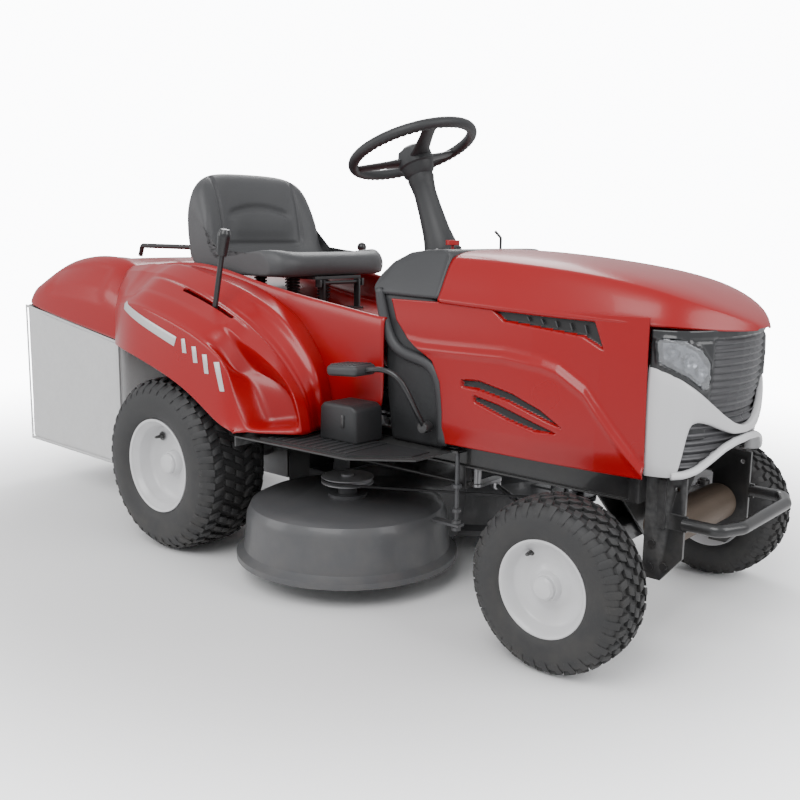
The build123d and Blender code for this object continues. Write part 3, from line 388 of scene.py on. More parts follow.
def piece(name, bm, look, body, stands=(), angle=38, wall=0, bevel=0, levels=0, tidyNormals=False,
          weld=0.00002):
    bmesh.ops.remove_doubles(bm, verts=bm.verts, dist=weld)
    if tidyNormals:
        bmesh.ops.recalc_face_normals(bm, faces=bm.faces)
    mesh = bpy.data.meshes.new(name)
    bm.to_mesh(mesh)
    bm.free()
    for extra in ("u", "v"):
        if extra in mesh.attributes:
            mesh.attributes.remove(mesh.attributes[extra])
    mesh.polygons.foreach_set("use_smooth", [True] * len(mesh.polygons))
    mesh.set_sharp_from_angle(angle=math.radians(angle))
    for each in (look if isinstance(look, (list, tuple)) else [look]):
        mesh.materials.append(looks[each])
    thing = bpy.data.objects.new(name, mesh)
    bpy.context.scene.collection.objects.link(thing)
    if wall:
        shell = thing.modifiers.new("wall", "SOLIDIFY")
        shell.thickness = wall * mm
        shell.offset = -1
    if bevel:
        edge = thing.modifiers.new("softEdge", "BEVEL")
        edge.width = bevel * mm
        edge.segments = 2
        edge.limit_method = "ANGLE"
        edge.angle_limit = math.radians(angle)
    if levels:
        smooth = thing.modifiers.new("smooth", "SUBSURF")
        smooth.levels = smooth.render_levels = levels
    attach(thing, body)
    if stands:
        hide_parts(*stands)
    return thing


def turned(profile, centre, axis=(0, 1, 0), radial=(0, 0, 1), steps=96):
    # a chain of (distance along the axis, radius) pairs spun once round the axis
    bm = bmesh.new()
    axis, radial = Vector(axis).normalized(), Vector(radial).normalized()
    chain = [bm.verts.new(Vector(centre) + axis * a * mm + radial * r * mm) for a, r in profile]
    edges = [bm.edges.new(pair) for pair in zip(chain, chain[1:])]
    bmesh.ops.spin(bm, geom=chain + edges, cent=centre, axis=axis, angle=math.tau, steps=steps,
                   use_merge=True)
    bmesh.ops.remove_doubles(bm, verts=bm.verts, dist=0.00002)
    bmesh.ops.recalc_face_normals(bm, faces=bm.faces)
    return bm


def slab(outline, y0, y1, flat="side"):
    # a closed plate from an outline of (x, z) pairs, or (x, y) pairs when flat is "plan"
    bm = bmesh.new()
    if flat == "side":
        corners = [bm.verts.new(at(x, y0, z)) for x, z in outline]
        step = Vector((0, (y1 - y0) * mm, 0))
    else:
        corners = [bm.verts.new(at(x, y, y0)) for x, y in outline]
        step = Vector((0, 0, (y1 - y0) * mm))
    face = bm.faces.new(corners)
    grown = bmesh.ops.extrude_face_region(bm, geom=[face])["geom"]
    bmesh.ops.translate(bm, vec=step, verts=[g for g in grown if isinstance(g, bmesh.types.BMVert)])
    bmesh.ops.recalc_face_normals(bm, faces=bm.faces)
    return bm


def rounded(bm, size, segments=3, angle=30):   # bevels every edge sharper than angle
    sharp = [e for e in bm.edges if len(e.link_faces) == 2 and e.calc_face_angle(0) > math.radians(angle)]
    bmesh.ops.bevel(bm, geom=sharp, offset=size * mm, offset_type="OFFSET", segments=segments, profile=0.5,
                    affect="EDGES", material=-1, clamp_overlap=True)
    return bm


def bar(name, points, radius, look, body, stands=(), order=3):
    # a round bar along a smooth line through its points
    line = bpy.data.curves.new(name, "CURVE")
    line.dimensions = "3D"
    line.bevel_depth = radius * mm
    line.bevel_resolution = 6
    line.use_fill_caps = True
    spline = line.splines.new("NURBS")
    spline.points.add(len(points) - 1)
    for spot, p in zip(spline.points, points):
        spot.co = (*at(*p), 1)
    spline.order_u = order
    spline.use_endpoint_u = True
    spline.resolution_u = 10
    holder = bpy.data.objects.new(name + "Line", line)
    bpy.context.scene.collection.objects.link(holder)
    mesh = bpy.data.meshes.new_from_object(holder.evaluated_get(bpy.context.evaluated_depsgraph_get()))
    bpy.data.objects.remove(holder)
    bm = bmesh.new()
    bm.from_mesh(mesh)
    bpy.data.meshes.remove(mesh)
    return piece(name, bm, look, body, stands)


# ---- camera, floor and light
view = {"place": (2086, -1930, 849.5), "azimuth": 40.92, "elevation": 10.09, "roll": 0.717,
        "focal": 962.4 / 800}


def setCamera():
    a, e, r = (math.radians(view[k]) for k in ("azimuth", "elevation", "roll"))
    back = Vector((math.sin(a) * math.cos(e), -math.cos(a) * math.cos(e), math.sin(e)))
    side = Vector((math.cos(a), math.sin(a), 0))
    up = back.cross(side)
    side, up = side * math.cos(r) + up * math.sin(r), up * math.cos(r) - side * math.sin(r)
    lens = bpy.data.cameras.new("camera")
    lens.sensor_width = 36
    lens.lens = 36 * view["focal"]
    lens.clip_end = 60
    camera = bpy.data.objects.new("camera", lens)
    turn = Matrix((side, up, back)).transposed().to_4x4()
    camera.matrix_world = Matrix.Translation(at(*view["place"])) @ turn
    bpy.context.scene.collection.objects.link(camera)
    bpy.context.scene.camera = camera


studio = {
    "floor": (0.93, 0.93, 0.93),
    "sky": 0.75,
    "backdrop": 12.0,
    "fade": (0.9, 3.4),
    "lamps": [   # place, aim, size, power
        ((1.2, -3.4, 3.8), (0.2, 0, 0.4), 3.0, 150), ((4.0, 0.4, 2.6), (0.6, 0, 0.5), 2.4, 70),
        ((-2.2, 2.6, 3.6), (-0.2, 0, 0.6), 2.6, 110), ((-2.6, -3.0, 1.8), (-0.5, 0, 0.5), 2.0, 40),
    ],
}


def floorPaint():   # solid under the machine, fading out to the backdrop around it
    material = finish("floorPaint", studio["floor"], 0.7, grain=(60, 0.02), drift=0.005)
    tree = material.node_tree
    place = tree.nodes.new("ShaderNodeTexCoord").outputs["Object"]
    reach = tree.nodes.new("ShaderNodeVectorMath")
    reach.operation = "LENGTH"
    tree.links.new(place, reach.inputs[0])
    fade = tree.nodes.new("ShaderNodeMapRange")
    fade.interpolation_type = "SMOOTHSTEP"
    fade.inputs["From Min"].default_value, fade.inputs["From Max"].default_value = studio["fade"]
    tree.links.new(reach.outputs["Value"], fade.inputs["Value"])
    mix = tree.nodes.new("ShaderNodeMixShader")
    tree.links.new(fade.outputs["Result"], mix.inputs[0])
    tree.links.new(tree.nodes["Principled BSDF"].outputs[0], mix.inputs[1])
    tree.links.new(tree.nodes.new("ShaderNodeBsdfTransparent").outputs[0], mix.inputs[2])
    tree.links.new(mix.outputs[0], tree.nodes["Material Output"].inputs["Surface"])
    return material


def setStudio():
    world = bpy.data.worlds.new("studio")
    world.use_nodes = True
    tree = world.node_tree
    backdrop = tree.nodes["Background"]
    backdrop.inputs["Color"].default_value = (0.97, 0.98, 1.0, 1)
    ray = tree.nodes.new("ShaderNodeLightPath")
    extra = addMath(tree, "MULTIPLY", ray.outputs["Is Camera Ray"], studio["backdrop"] - studio["sky"])
    tree.links.new(addMath(tree, "ADD", extra, studio["sky"]), backdrop.inputs["Strength"])
    bpy.context.scene.world = world
    for index, (place, aim, size, power) in enumerate(studio["lamps"]):
        light = bpy.data.lights.new("lamp%d" % index, "AREA")
        light.size = size
        light.energy = power
        lamp = bpy.data.objects.new("lamp%d" % index, light)
        lamp.location = place
        lamp.rotation_euler = (Vector(aim) - Vector(place)).to_track_quat("-Z", "Y").to_euler()
        bpy.context.scene.collection.objects.link(lamp)
    floor = bmesh.new()
    bmesh.ops.create_grid(floor, x_segments=2, y_segments=2, size=8)
    mesh = bpy.data.meshes.new("floor")
    floor.to_mesh(mesh)
    floor.free()
    mesh.materials.append(floorPaint())
    ground = bpy.data.objects.new("floor", mesh)
    ground.location.z = -0.0005
    bpy.context.scene.collection.objects.link(ground)


setCamera()
setStudio()
print("camera, floor and lights set")


# ---- rear body: saddle with a fender pod each side
rearBody = {
    "wall": 4,
    # how far each form stands out or in
    "pressed": {"pad": 9, "scoop": 58, "valley": 5, "groove": 3.5, "ledge": 7},
    "archEdge": [(-400, -348, 509), (-260, -440, 522), (-130, -484, 517), (-10, -489, 490), (100, -489, 457),
                 (175, -489, 420), (220, -489, 394), (255, -489, 377), (282, -488, 369), (304, -487, 364)],
    "bandTop": [(-400, -345, 598), (-260, -430, 636), (-125, -470, 650), (-10, -477, 628), (105, -480, 600),
                (192, -480, 570), (270, -478, 528), (277, -476, 466), (298, -472, 406), (330, -466, 365)],
    "shoulder": [(-400, -328, 668), (-260, -388, 680), (-130, -412, 678), (-10, -412, 660), (105, -414, 630),
                 (205, -410, 598), (308, -402, 546), (388, -398, 502), (430, -396, 452), (448, -394, 365)],
    "scoopRim": [(-400, -300, 716), (-260, -338, 726), (-130, -348, 722), (-10, -350, 696), (100, -354, 660),
                 (195, -358, 624), (292, -360, 573), (376, -362, 506), (438, -362, 440), (447, -362, 365)],
    "innerArc": [(-400, -278, 732), (-260, -292, 746), (-130, -296, 748), (-10, -300, 724), (100, -302, 700),
                 (202, -305, 668), (297, -305, 622), (368, -305, 556), (424, -304, 484), (436, -303, 365)],
    "saddleArc": [(-400, -252, 728), (-260, -252, 740), (-130, -252, 742), (-10, -252, 724), (100, -252, 704),
                  (205, -252, 672), (296, -252, 622), (352, -252, 560), (402, -252, 484), (416, -252, 352)],
    "saddleTop": [(-400, 732), (-260, 748), (-130, 753), (-10, 738), (100, 714), (200, 696), (340, 675),
                  (450, 662), (560, 646)],
    "seatWell": [(-400, 712), (-310, 712), (20, 640), (340, 602), (560, 591)],
    "sideFoot": [(-400, 560), (-250, 545), (0, 490), (105, 455), (200, 405), (300, 352), (440, 349),
                 (500, 380), (560, 420)],
    "saddleAt": [-400, -320, -230, -120, -10, 100, 200, 300, 390, 470, 540, 578],
}


def makePod():
    rows = [list(points) for points in zip(*(rearBody[k] for k in
            ("archEdge", "bandTop", "shoulder", "scoopRim", "innerArc", "saddleArc")))]
    detailed = []
    for row in rows:
        x, y, z = row[0]
        inner = (x, y + 10, z + 1)   # the lip turned under the wheel arch
        low, top = Vector(row[0]), Vector(row[1])
        shoulder, rim, arc, saddle = (Vector(p) for p in row[2:])
        detailed.append([inner, tuple(low), tuple(low.lerp(top, 0.12)), tuple(low.lerp(top, 0.88)),
                         tuple(top),
                         tuple(top.lerp(shoulder, 0.22)), tuple(top.lerp(shoulder, 0.82)), tuple(shoulder),
                         tuple(shoulder.lerp(rim, 0.35)), tuple(shoulder.lerp(rim, 0.85)), tuple(rim),
                         tuple(rim.lerp(arc, 0.3)), tuple(arc), tuple(arc.lerp(saddle, 0.45)), tuple(saddle)])
    bm = refined(cage(detailed, creasedColumns=(1, 4, 7, 10, 12), crease=0.45), 3)
    u, v = bm.verts.layers.float["u"], bm.verts.layers.float["v"]
    bm.normal_update()
    faceOut(bm, (0.3, -1, 1))
    bm.normal_update()
    for vertex in bm.verts:
        across, down = vertex[u], vertex[v]
        raised = between(down, 1.5, 2.1) * (1 - between(down, 4.9, 5.4))      # long pad on the shoulder
        raised *= between(across, 4.6, 6.2) * (1 - between(across, 8.5, 9.1))
        hollow = between(down, 4.7, 6.2) * (1 - between(down, 8.55, 8.95))    # scoop at the front
        hollow *= between(across, 4.15, 5.3) * (1 - between(across, 6.2, 7.0))
        valley = between(across, 9.4, 10.0) * (1 - between(across, 10.2, 10.9)) * between(down, 3.4, 4.6)
        groove = between(down, 0.9, 1.1) * (1 - between(down, 1.5, 1.7)) * between(across, 5, 6)
        ledge = between(across, 10.3, 10.8) * (1 - between(across, 11.5, 12)) * between(down, 3.8, 4.8)
        deep = rearBody["pressed"]
        rise = deep["pad"] * raised - deep["scoop"] * hollow - deep["valley"] * valley
        vertex.co += vertex.normal * mm * (rise - deep["groove"] * groove - deep["ledge"] * ledge)
    return bm


def makeSaddle():
    rows = []
    for x in rearBody["saddleAt"]:
        top, well, foot = (along(rearBody[k], x) for k in ("saddleTop", "seatWell", "sideFoot"))
        half = [(-252, foot), (-254, foot + 0.5 * (top - foot)), (-254, top - 26), (-251, top - 6),
                (-244, top), (-238, top - 3), (-233, top - 14), (-231, well + 16), (-226, well + 2),
                (-212, well), (-110, well), (0, well)]
        rows.append([(x, y, z) for y, z in half] + [(x, -y, z) for y, z in reversed(half[:-1])])
    bm = refined(cage(rows, creasedColumns=(8, 14), crease=0.3), 2)
    faceOut(bm, (0, 0, 1))
    return bm


leverSlots = {
    "rearFenderLiftSlot": (-14, 188, -389, -371),
    "rearFenderBrakeSlot": (-128, -38, 342, 360),
}


def cutSlots(thing):
    for name, (x0, x1, y0, y1) in leverSlots.items():
        blade = slab([(x0, y0), (x1, y0), (x1, y1), (x0, y1)], 480, 800, flat="plan")
        upright = [e for e in blade.edges if abs(e.verts[0].co.z - e.verts[1].co.z) > 0.1]
        bmesh.ops.bevel(blade, geom=upright, offset=8 * mm, offset_type="OFFSET", segments=4, profile=0.5,
                        affect="EDGES", material=-1)
        mesh = bpy.data.meshes.new(name)
        blade.to_mesh(mesh)
        blade.free()
        cutter = bpy.data.objects.new(name, mesh)
        bpy.context.scene.collection.objects.link(cutter)
        cut = thing.modifiers.new(name, "BOOLEAN")
        cut.operation = "DIFFERENCE"
        cut.object = cutter
        cut.solver = "EXACT"
    solid = bpy.data.meshes.new_from_object(thing.evaluated_get(bpy.context.evaluated_depsgraph_get()))
    thing.modifiers.clear()
    old, thing.data = thing.data, solid
    bpy.data.meshes.remove(old)
    solid.name = thing.name
    for name in leverSlots:
        bpy.data.objects.remove(bpy.data.objects[name])


def makeRearBody():
    thing = piece("rearBody", podsAndSaddle(makePod()),
                  "redBody", "chassis", ["rear_fender"], angle=50, wall=rearBody["wall"])
    cutSlots(thing)


def podsAndSaddle(pod):
    other = mirrored(pod)
    return joined([pod, other, makeSaddle()])


trimStrips = {
    "long": [(-186, 627), (-181, 648), (86, 575), (76, 551)],
    "least": 410,   # a spot nearer the centre line than this isn't on the band
    "slants": [[(105, 572), (119, 574), (128, 538), (112, 538)],
               [(147, 557), (163, 558), (172, 518), (156, 517)],
               [(188, 541), (205, 542), (214, 495), (199, 495)],
               [(231, 526), (250, 528), (269, 458), (255, 457)]],
    "proud": 1.6,
}


def makeTrim():
    body = bpy.data.objects["rearBody"]
    for side, hand in ((right, "Right"), (left, "Left")):
        parts = []
        for outline in [trimStrips["long"]] + trimStrips["slants"]:
            strip = bmesh.new()
            (x0, z0), (x1, z1), (x2, z2), (x3, z3) = outline
            steps = max(2, int(abs(x2 - x1) / 12))
            bmesh.ops.create_grid(strip, x_segments=steps, y_segments=3, size=0.5)
            for vertex in strip.verts:
                s, t = vertex.co.x + 0.5, vertex.co.y + 0.5
                x = (x0 + (x3 - x0) * s) * (1 - t) + (x1 + (x2 - x1) * s) * t
                z = (z0 + (z3 - z0) * s) * (1 - t) + (z1 + (z2 - z1) * s) * t
                start = at(x, side * 560, z)
                hit, where, normal, _ = body.ray_cast(start, Vector((0, -side, 0)))
                hit = hit and abs(where.y) > trimStrips["least"] * mm
                vertex.co = where + normal * trimStrips["proud"] * mm if hit else at(x, side * 486, z)
            faceOut(strip, (0, side, 0))
            parts.append(strip)
        piece("fenderTrim" + hand, joined(parts), "silverStrip", "chassis", angle=60,
              wall=1.4, bevel=0.5)


makeRearBody()
makeTrim()
print("rear body made")


# ---- hood: top shell, side panels with vents, pale front panel, grille and lamps
hood = {
    "stations": [   # x, half width, crown, lower edge
        (728, 240, 804, 692), (760, 240.5, 804, 690), (830, 240.5, 802, 687), (900, 240, 797, 684),
        (980, 238, 790, 681), (1060, 235, 781, 678), (1140, 231, 769, 676), (1205, 224, 754, 674),
        (1245, 210, 741, 672), (1280, 188, 727, 669), (1312, 157, 712, 666), (1340, 118, 697, 663),
        (1362, 76, 683, 661), (1376, 36, 671, 660)],
    "section": [   # share of the half width, share of the height from the lower edge to the crown
        (0.0, 1.0), (0.3, 0.995), (0.55, 0.965), (0.70, 0.905), (0.775, 0.84), (0.83, 0.70), (0.89, 0.46),
        (0.935, 0.26), (0.965, 0.14), (1.0, 0.02), (0.992, -0.05), (0.965, -0.06)],
    "wall": 3.5,
    "sideOut": 233,
    "sideLow": 368, "sideHigh": 688, "sideFront": 1242,
    "ventDepth": 10,
    "rearEdge": [(366, 752), (440, 752), (508, 744), (555, 720), (581, 675), (600, 640), (640, 604),
                 (690, 586)],
    "swell": [(585, 600), (689, 590), (767, 590), (913, 592), (1010, 583), (1047, 574), (1111, 536),
              (1176, 458), (1239, 389)],
}


def makeHoodTop():
    rows = []
    for x, half, crown, edge in hood["stations"]:
        side = [(x, -half * a, edge + (crown - edge) * b) for a, b in hood["section"]]
        rows.append(list(reversed(side)) + [(x, -y, z) for x, y, z in side[1:]])
    nose = rows[-1]
    rows.append([(x + 3 * (1 - (y / 36) ** 2), y * 0.9, 661 + (z - 660) * 0.25) for x, y, z in nose])
    width = len(hood["section"])
    bm = refined(cage(rows, creasedColumns=(2, width - 5, width + 3, 2 * width - 4), crease=0.5), 2)
    faceOut(bm, (0, 0, 1))
    return piece("hoodTop", bm, "redBody", "hood", ["hood_shell"], angle=55, wall=hood["wall"])


ventShapes = {
    "upper": [(872, 682), (905, 658), (1098, 640), (1146, 616), (1122, 672), (1085, 678)],
    "lowerLong": [(803, 521), (850, 524), (940, 505), (1010, 479), (1066, 446), (1030, 455), (930, 487),
                  (850, 503), (806, 505)],
    "lowerShort": [(836, 490), (905, 477), (990, 452), (1052, 434), (1000, 431), (925, 448), (842, 474)],
}


def insideOutline(x, z, outline):
    crossing = False
    for (x0, z0), (x1, z1) in zip(outline, outline[1:] + outline[:1]):
        if (z0 > z) != (z1 > z) and x < x0 + (x1 - x0) * (z - z0) / (z1 - z0):
            crossing = not crossing
    return crossing


def outlineDistance(x, z, outline):   # distance to the outline, negative inside it
    best = 1e9
    for (x0, z0), (x1, z1) in zip(outline, outline[1:] + outline[:1]):
        dx, dz = x1 - x0, z1 - z0
        t = min(max(((x - x0) * dx + (z - z0) * dz) / (dx * dx + dz * dz), 0), 1)
        best = min(best, math.hypot(x - x0 - t * dx, z - z0 - t * dz))
    return -best if insideOutline(x, z, outline) else best


def panelOut(x, z):   # how far the side panel stands from the centre line
    half = along([(585, hood["sideOut"]), (980, hood["sideOut"] - 1), (1140, hood["sideOut"] - 6),
                  (1250, hood["sideOut"] - 17)], x)
    half += 5 * between(z, 366, 420) - 3 * between(z, 600, 690)
    crest = along(hood["swell"], x)
    half += 8.5 * (1 - between(z, crest - 14, crest + 6)) + 3 * (1 - between(abs(z - crest + 6), 0, 22))
    return half


def makeHoodSides():
    for side, hand in ((right, "Right"), (left, "Left")):
        bm = bmesh.new()
        bmesh.ops.create_grid(bm, x_segments=240, y_segments=120, size=0.5)
        depths = {}
        for vertex in bm.verts:
            s, t = vertex.co.x + 0.5, vertex.co.y + 0.5
            z = hood["sideLow"] + t * (hood["sideHigh"] - hood["sideLow"])
            rear = along(hood["rearEdge"], z)
            front = hood["sideFront"] - 6 * t
            x = rear + s * (front - rear)
            depth = min(outlineDistance(x, z, outline) for outline in ventShapes.values())
            depths[vertex] = depth
            vertex.co = at(x, side * (panelOut(x, z) - hood["ventDepth"] * (1 - between(depth, -3.5, 1.5))),
                           z)
        for face in bm.faces:
            if max(depths[v] for v in face.verts) < -1.0:
                face.material_index = 1
        faceOut(bm, (0, side, 0))
        piece("hoodSide" + hand, bm, ["redBody", "ventBlack"], "hood", angle=60, wall=3)
        makeVentRibs(side, hand)


ventRibs = {"count": 5, "first": 962, "step": 34, "top": 671, "slope": 0.06}


def makeVentRibs(side, hand):
    parts = []
    for index in range(ventRibs["count"]):
        x = ventRibs["first"] + ventRibs["step"] * index
        z = ventRibs["top"] - ventRibs["slope"] * (x - ventRibs["first"])
        drop = along([(905, 6), (1096, 16), (1137, 40)], x)
        rib = slab([(x, z), (x + 3, z), (x + 9, z - drop), (x + 6, z - drop)], 0, 1)
        for vertex in rib.verts:
            px, pz = (vertex.co.x - axleX) / mm, vertex.co.z / mm
            vertex.co.y = side * (panelOut(px, pz) - (3.6 if vertex.co.y > 0.5 * mm else 8)) * mm
        bmesh.ops.recalc_face_normals(rib, faces=rib.faces)
        parts.append(rib)
    piece("ventRibs" + hand, joined(parts), "capPlastic", "hood", angle=30)


# the front face in plan, from the hood seam to the centre line; a share of 0 is the seam and 1 the centre
frontPlan = [(1238, 214), (1262, 211), (1286, 203), (1306, 188), (1321, 166), (1333, 138), (1344, 104),
             (1353, 66), (1358, 30), (1359, 0)]
fascia = {
    "wall": 4,
    "sunk": 5,   # how far its edges lie behind the plan line
    "upperEdge": [(0.0, 596), (0.08, 590), (0.19, 577), (0.3, 560), (0.4, 543), (0.52, 520), (0.66, 494),
                  (0.8, 474), (0.92, 465), (1.0, 464)],
    "lowerEdge": [(0.0, 372), (0.2, 373), (0.255, 380), (0.29, 440), (0.32, 478), (0.4, 484), (0.52, 476),
                  (0.66, 462), (0.8, 450), (1.0, 447)],
    "lip": [(0.2, 373), (0.3, 376), (0.4, 384), (0.52, 401), (0.66, 420), (0.8, 430), (1.0, 434)],
}


def frontPoint(share, out=0.0):   # plan place on the right half of the front face, pushed outward by out
    run = [0.0]
    for (x0, y0), (x1, y1) in zip(frontPlan, frontPlan[1:]):
        run.append(run[-1] + math.hypot(x1 - x0, y1 - y0))
    where = share * run[-1]
    spread = 6.0
    xTable, yTable = list(zip(run, [p[0] for p in frontPlan])), list(zip(run, [p[1] for p in frontPlan]))
    x, y = along(xTable, where), along(yTable, where)
    ahead = Vector((along(xTable, where + spread) - along(xTable, where - spread),
                    along(yTable, where + spread) - along(yTable, where - spread)))
    ahead = ahead.normalized() if ahead.length > 0.01 else Vector((0, -1))
    return x - ahead.y * out, y + ahead.x * out


def makeFascia():
    shares = [k / 28 for k in range(29)]
    parts = []
    rows = []
    for share in shares:
        top, low = along(fascia["upperEdge"], share), along(fascia["lowerEdge"], share)
        row = []
        for s, out in ((0.0, -9), (0.0, 0), (0.06, 5), (0.5, 5.5), (0.94, 5), (1.0, 0), (1.0, -9)):
            z = top + (low - top) * s
            x, y = frontPoint(share, out - fascia["sunk"])
            row.append((x, -y, z))
        rows.append(row)
    rows[0] = [(1236, y, z) for x, y, z in rows[0]]
    face = refined(cage(rows, creasedColumns=(1, 5), crease=0.3), 1)
    faceOut(face, (0.6, -1, 0))
    parts.append(face)
    lipRows = []
    for share in [0.2 + 0.8 * k / 20 for k in range(21)]:
        z = along(fascia["lip"], share)
        row = []
        for out, rise in ((-34, -3), (-4, -3), (2, 0), (3, 5), (0, 11), (-10, 13)):
            x, y = frontPoint(share, out + 5)
            row.append((x, -y, z + rise))
        lipRows.append(row)
    lip = refined(cage(lipRows, crease=0.3), 1)
    faceOut(lip, (1, -0.5, 0.3))
    parts.append(lip)
    piece("frontFascia", joined(parts + [mirrored(face), mirrored(lip)]), "paleFascia", "hood",
          ["front_fascia"], angle=50, wall=fascia["wall"], weld=0.0005)


grille = {
    "top": 664, "foot": 448,
    "bowl": [(-3, 0), (-2, 5), (1, 11), (5, 14.5), (6, 15.5), (5, 16.5), (-2, 16), (-4, 0)],
    "bulb": [(-2, 0), (-2, 4), (4, 4), (6, 2.5), (6.5, 0)],
    "lamp": [(0.05, 640), (0.1, 646), (0.24, 642), (0.38, 626), (0.46, 600), (0.475, 570), (0.46, 552),
             (0.42, 553), (0.3, 574), (0.16, 592), (0.07, 602)],
}


def makeGrille():
    rows = []
    heights = [grille["top"] - (grille["top"] - grille["foot"]) * k / 60 for k in range(61)]
    shares = [k / 90 for k in range(91)]
    lamp = [(share * 300, z) for share, z in grille["lamp"]]
    for z in heights:
        row = []
        for share in shares:
            lean = -4 - 10 * between(z, 600, 470)
            shape = 0.0
            meshed = between(share, 0.5, 0.54) * (1 - between(z, 640, 650))
            shape -= meshed * (5 + 2.4 * math.cos(z * math.tau / 14))   # slats in the middle
            frame = outlineDistance(share * 300, z, lamp)
            shape -= 9 * (1 - between(frame, -7, 1))   # pocket for the lamp
            shape += 3 * (1 - between(abs(frame - 5), 0, 5))
            shape -= 3.5 * (1 - between(abs(z - 644), 0, 5)) * (1 - meshed)   # step under the hood
            x, y = frontPoint(share, lean + shape)
            row.append((x, -y, z))
        rows.append(row)
    half = cage(rows)
    u, v = half.verts.layers.float["u"], half.verts.layers.float["v"]
    for face in half.faces:
        share = sum(p[u] for p in face.verts) / 4 / 90
        z = grille["top"] - (grille["top"] - grille["foot"]) * sum(p[v] for p in face.verts) / 4 / 60
        if outlineDistance(share * 300, z, lamp) < -6:
            face.material_index = 1
        elif share > 0.53 and z < 646:
            face.material_index = 2
    faceOut(half, (1, -1, 0))
    piece("grilleSurround", joined([half, mirrored(half)]), ["grilleBlack", "lampBowl", "grilleMesh"],
          "hood",
          ["grille"], angle=45, wall=3, weld=0.0005)
    for side, hand in ((right, "Right"), (left, "Left")):
        parts, bulbs = [], []
        for share, z, size in ((0.15, 619, 1.0), (0.3, 604, 1.0), (0.415, 584, 0.8)):
            x, y = frontPoint(share, -10)
            tip = frontPoint(share, 0)
            middle = at(x, side * y, z)
            aim = (at(tip[0], side * tip[1], z) - middle).normalized()
            around = aim.cross(Vector((0, 0, 1)))
            bowl, bulb = ([(a * size, r * size) for a, r in grille[k]] for k in ("bowl", "bulb"))
            parts.append(turned(bowl, middle, axis=aim, radial=around, steps=40))
            bulbs.append(turned(bulb, middle, axis=aim, radial=around, steps=24))
        piece("lampBowls" + hand, joined(parts), "lampBowl", "hood", angle=35)
        piece("lampBulbs" + hand, joined(bulbs), "clearLens", "hood", angle=35)
        cover = []
        for k in range(25):
            z = 650 - 102 * k / 24
            row = []
            for j in range(41):
                share = 0.03 + 0.46 * j / 40
                x, y = frontPoint(share, -1.5 if outlineDistance(share * 300, z, lamp) < 2 else -4.5)
                row.append((x, side * y, z))
            cover.append(row)
        glass = cage(cover)
        outside = [f for f in glass.faces if outlineDistance(*lampSpot(f), lamp) > 3]
        bmesh.ops.delete(glass, geom=outside, context="FACES")
        faceOut(glass, (1, side, 0))
        piece("lampGlass" + hand, glass, "clearLens", "hood", angle=60, wall=1.2)
    rows = []   # lower intake behind the bottom lip
    for z in [486 - 112 * k / 56 for k in range(57)]:
        row = []
        for share in [0.18 + 0.82 * k / 40 for k in range(41)]:
            lipZ = along(fascia["lip"], share)
            x, y = frontPoint(share, -14 - 3.2 * math.cos(z * math.tau / 16) - 5 * between(z, 470, 400))
            row.append((x, -y, max(z, lipZ + 1)))
        rows.append(row)
    intake = cage(rows)
    faceOut(intake, (1, -1, 0))
    piece("lowerIntake", joined([intake, mirrored(intake)]), "grilleMesh", "hood", angle=40,
          wall=2.5, weld=0.0005)


def lampSpot(face):   # where a face of the lamp cover lies: distance round the front and height
    middle = face.calc_center_median()
    x, y, z = (middle.x - axleX) / mm, abs(middle.y) / mm, middle.z / mm
    shares = [k / 100 for k in range(60)]
    return min(shares, key=lambda s: (frontPoint(s)[0] - x) ** 2 + (frontPoint(s)[1] - y) ** 2) * 300, z


makeHoodTop()
makeHoodSides()
makeFascia()
makeGrille()
print("hood and front made")


# ---- dash console with its cap and edge moulding
console = {
    "pedestal": [(583, 349), (566, 470), (562, 575), (548, 640), (534, 690), (560, 706), (700, 700),
                 (722, 690), (752, 560), (756, 380), (750, 349)],
    "half": 231,
    "capHalf": 240,
    "pedalBox": [(457, 351), (459, 430), (470, 442), (560, 442), (576, 432), (579, 351)],
    "latch": [(532, 388), (532, 418), (541, 418), (541, 388)],
    "lockAt": (640, -150, 795),
    "lock": [(-4, 0), (-4, 15), (3, 15), (5, 12.5), (5, 4), (3, 3.5), (3, 0)],
    "cap": [(533, 697), (527, 716), (540, 745), (566, 774), (604, 796), (650, 803), (690, 804), (722, 803),
            (727, 792), (728, 694)],
    "moulding": [(548, 712), (556, 668), (570, 622), (592, 580), (628, 560), (680, 553), (716, 540),
                 (738, 500), (745, 430), (748, 362)],
}


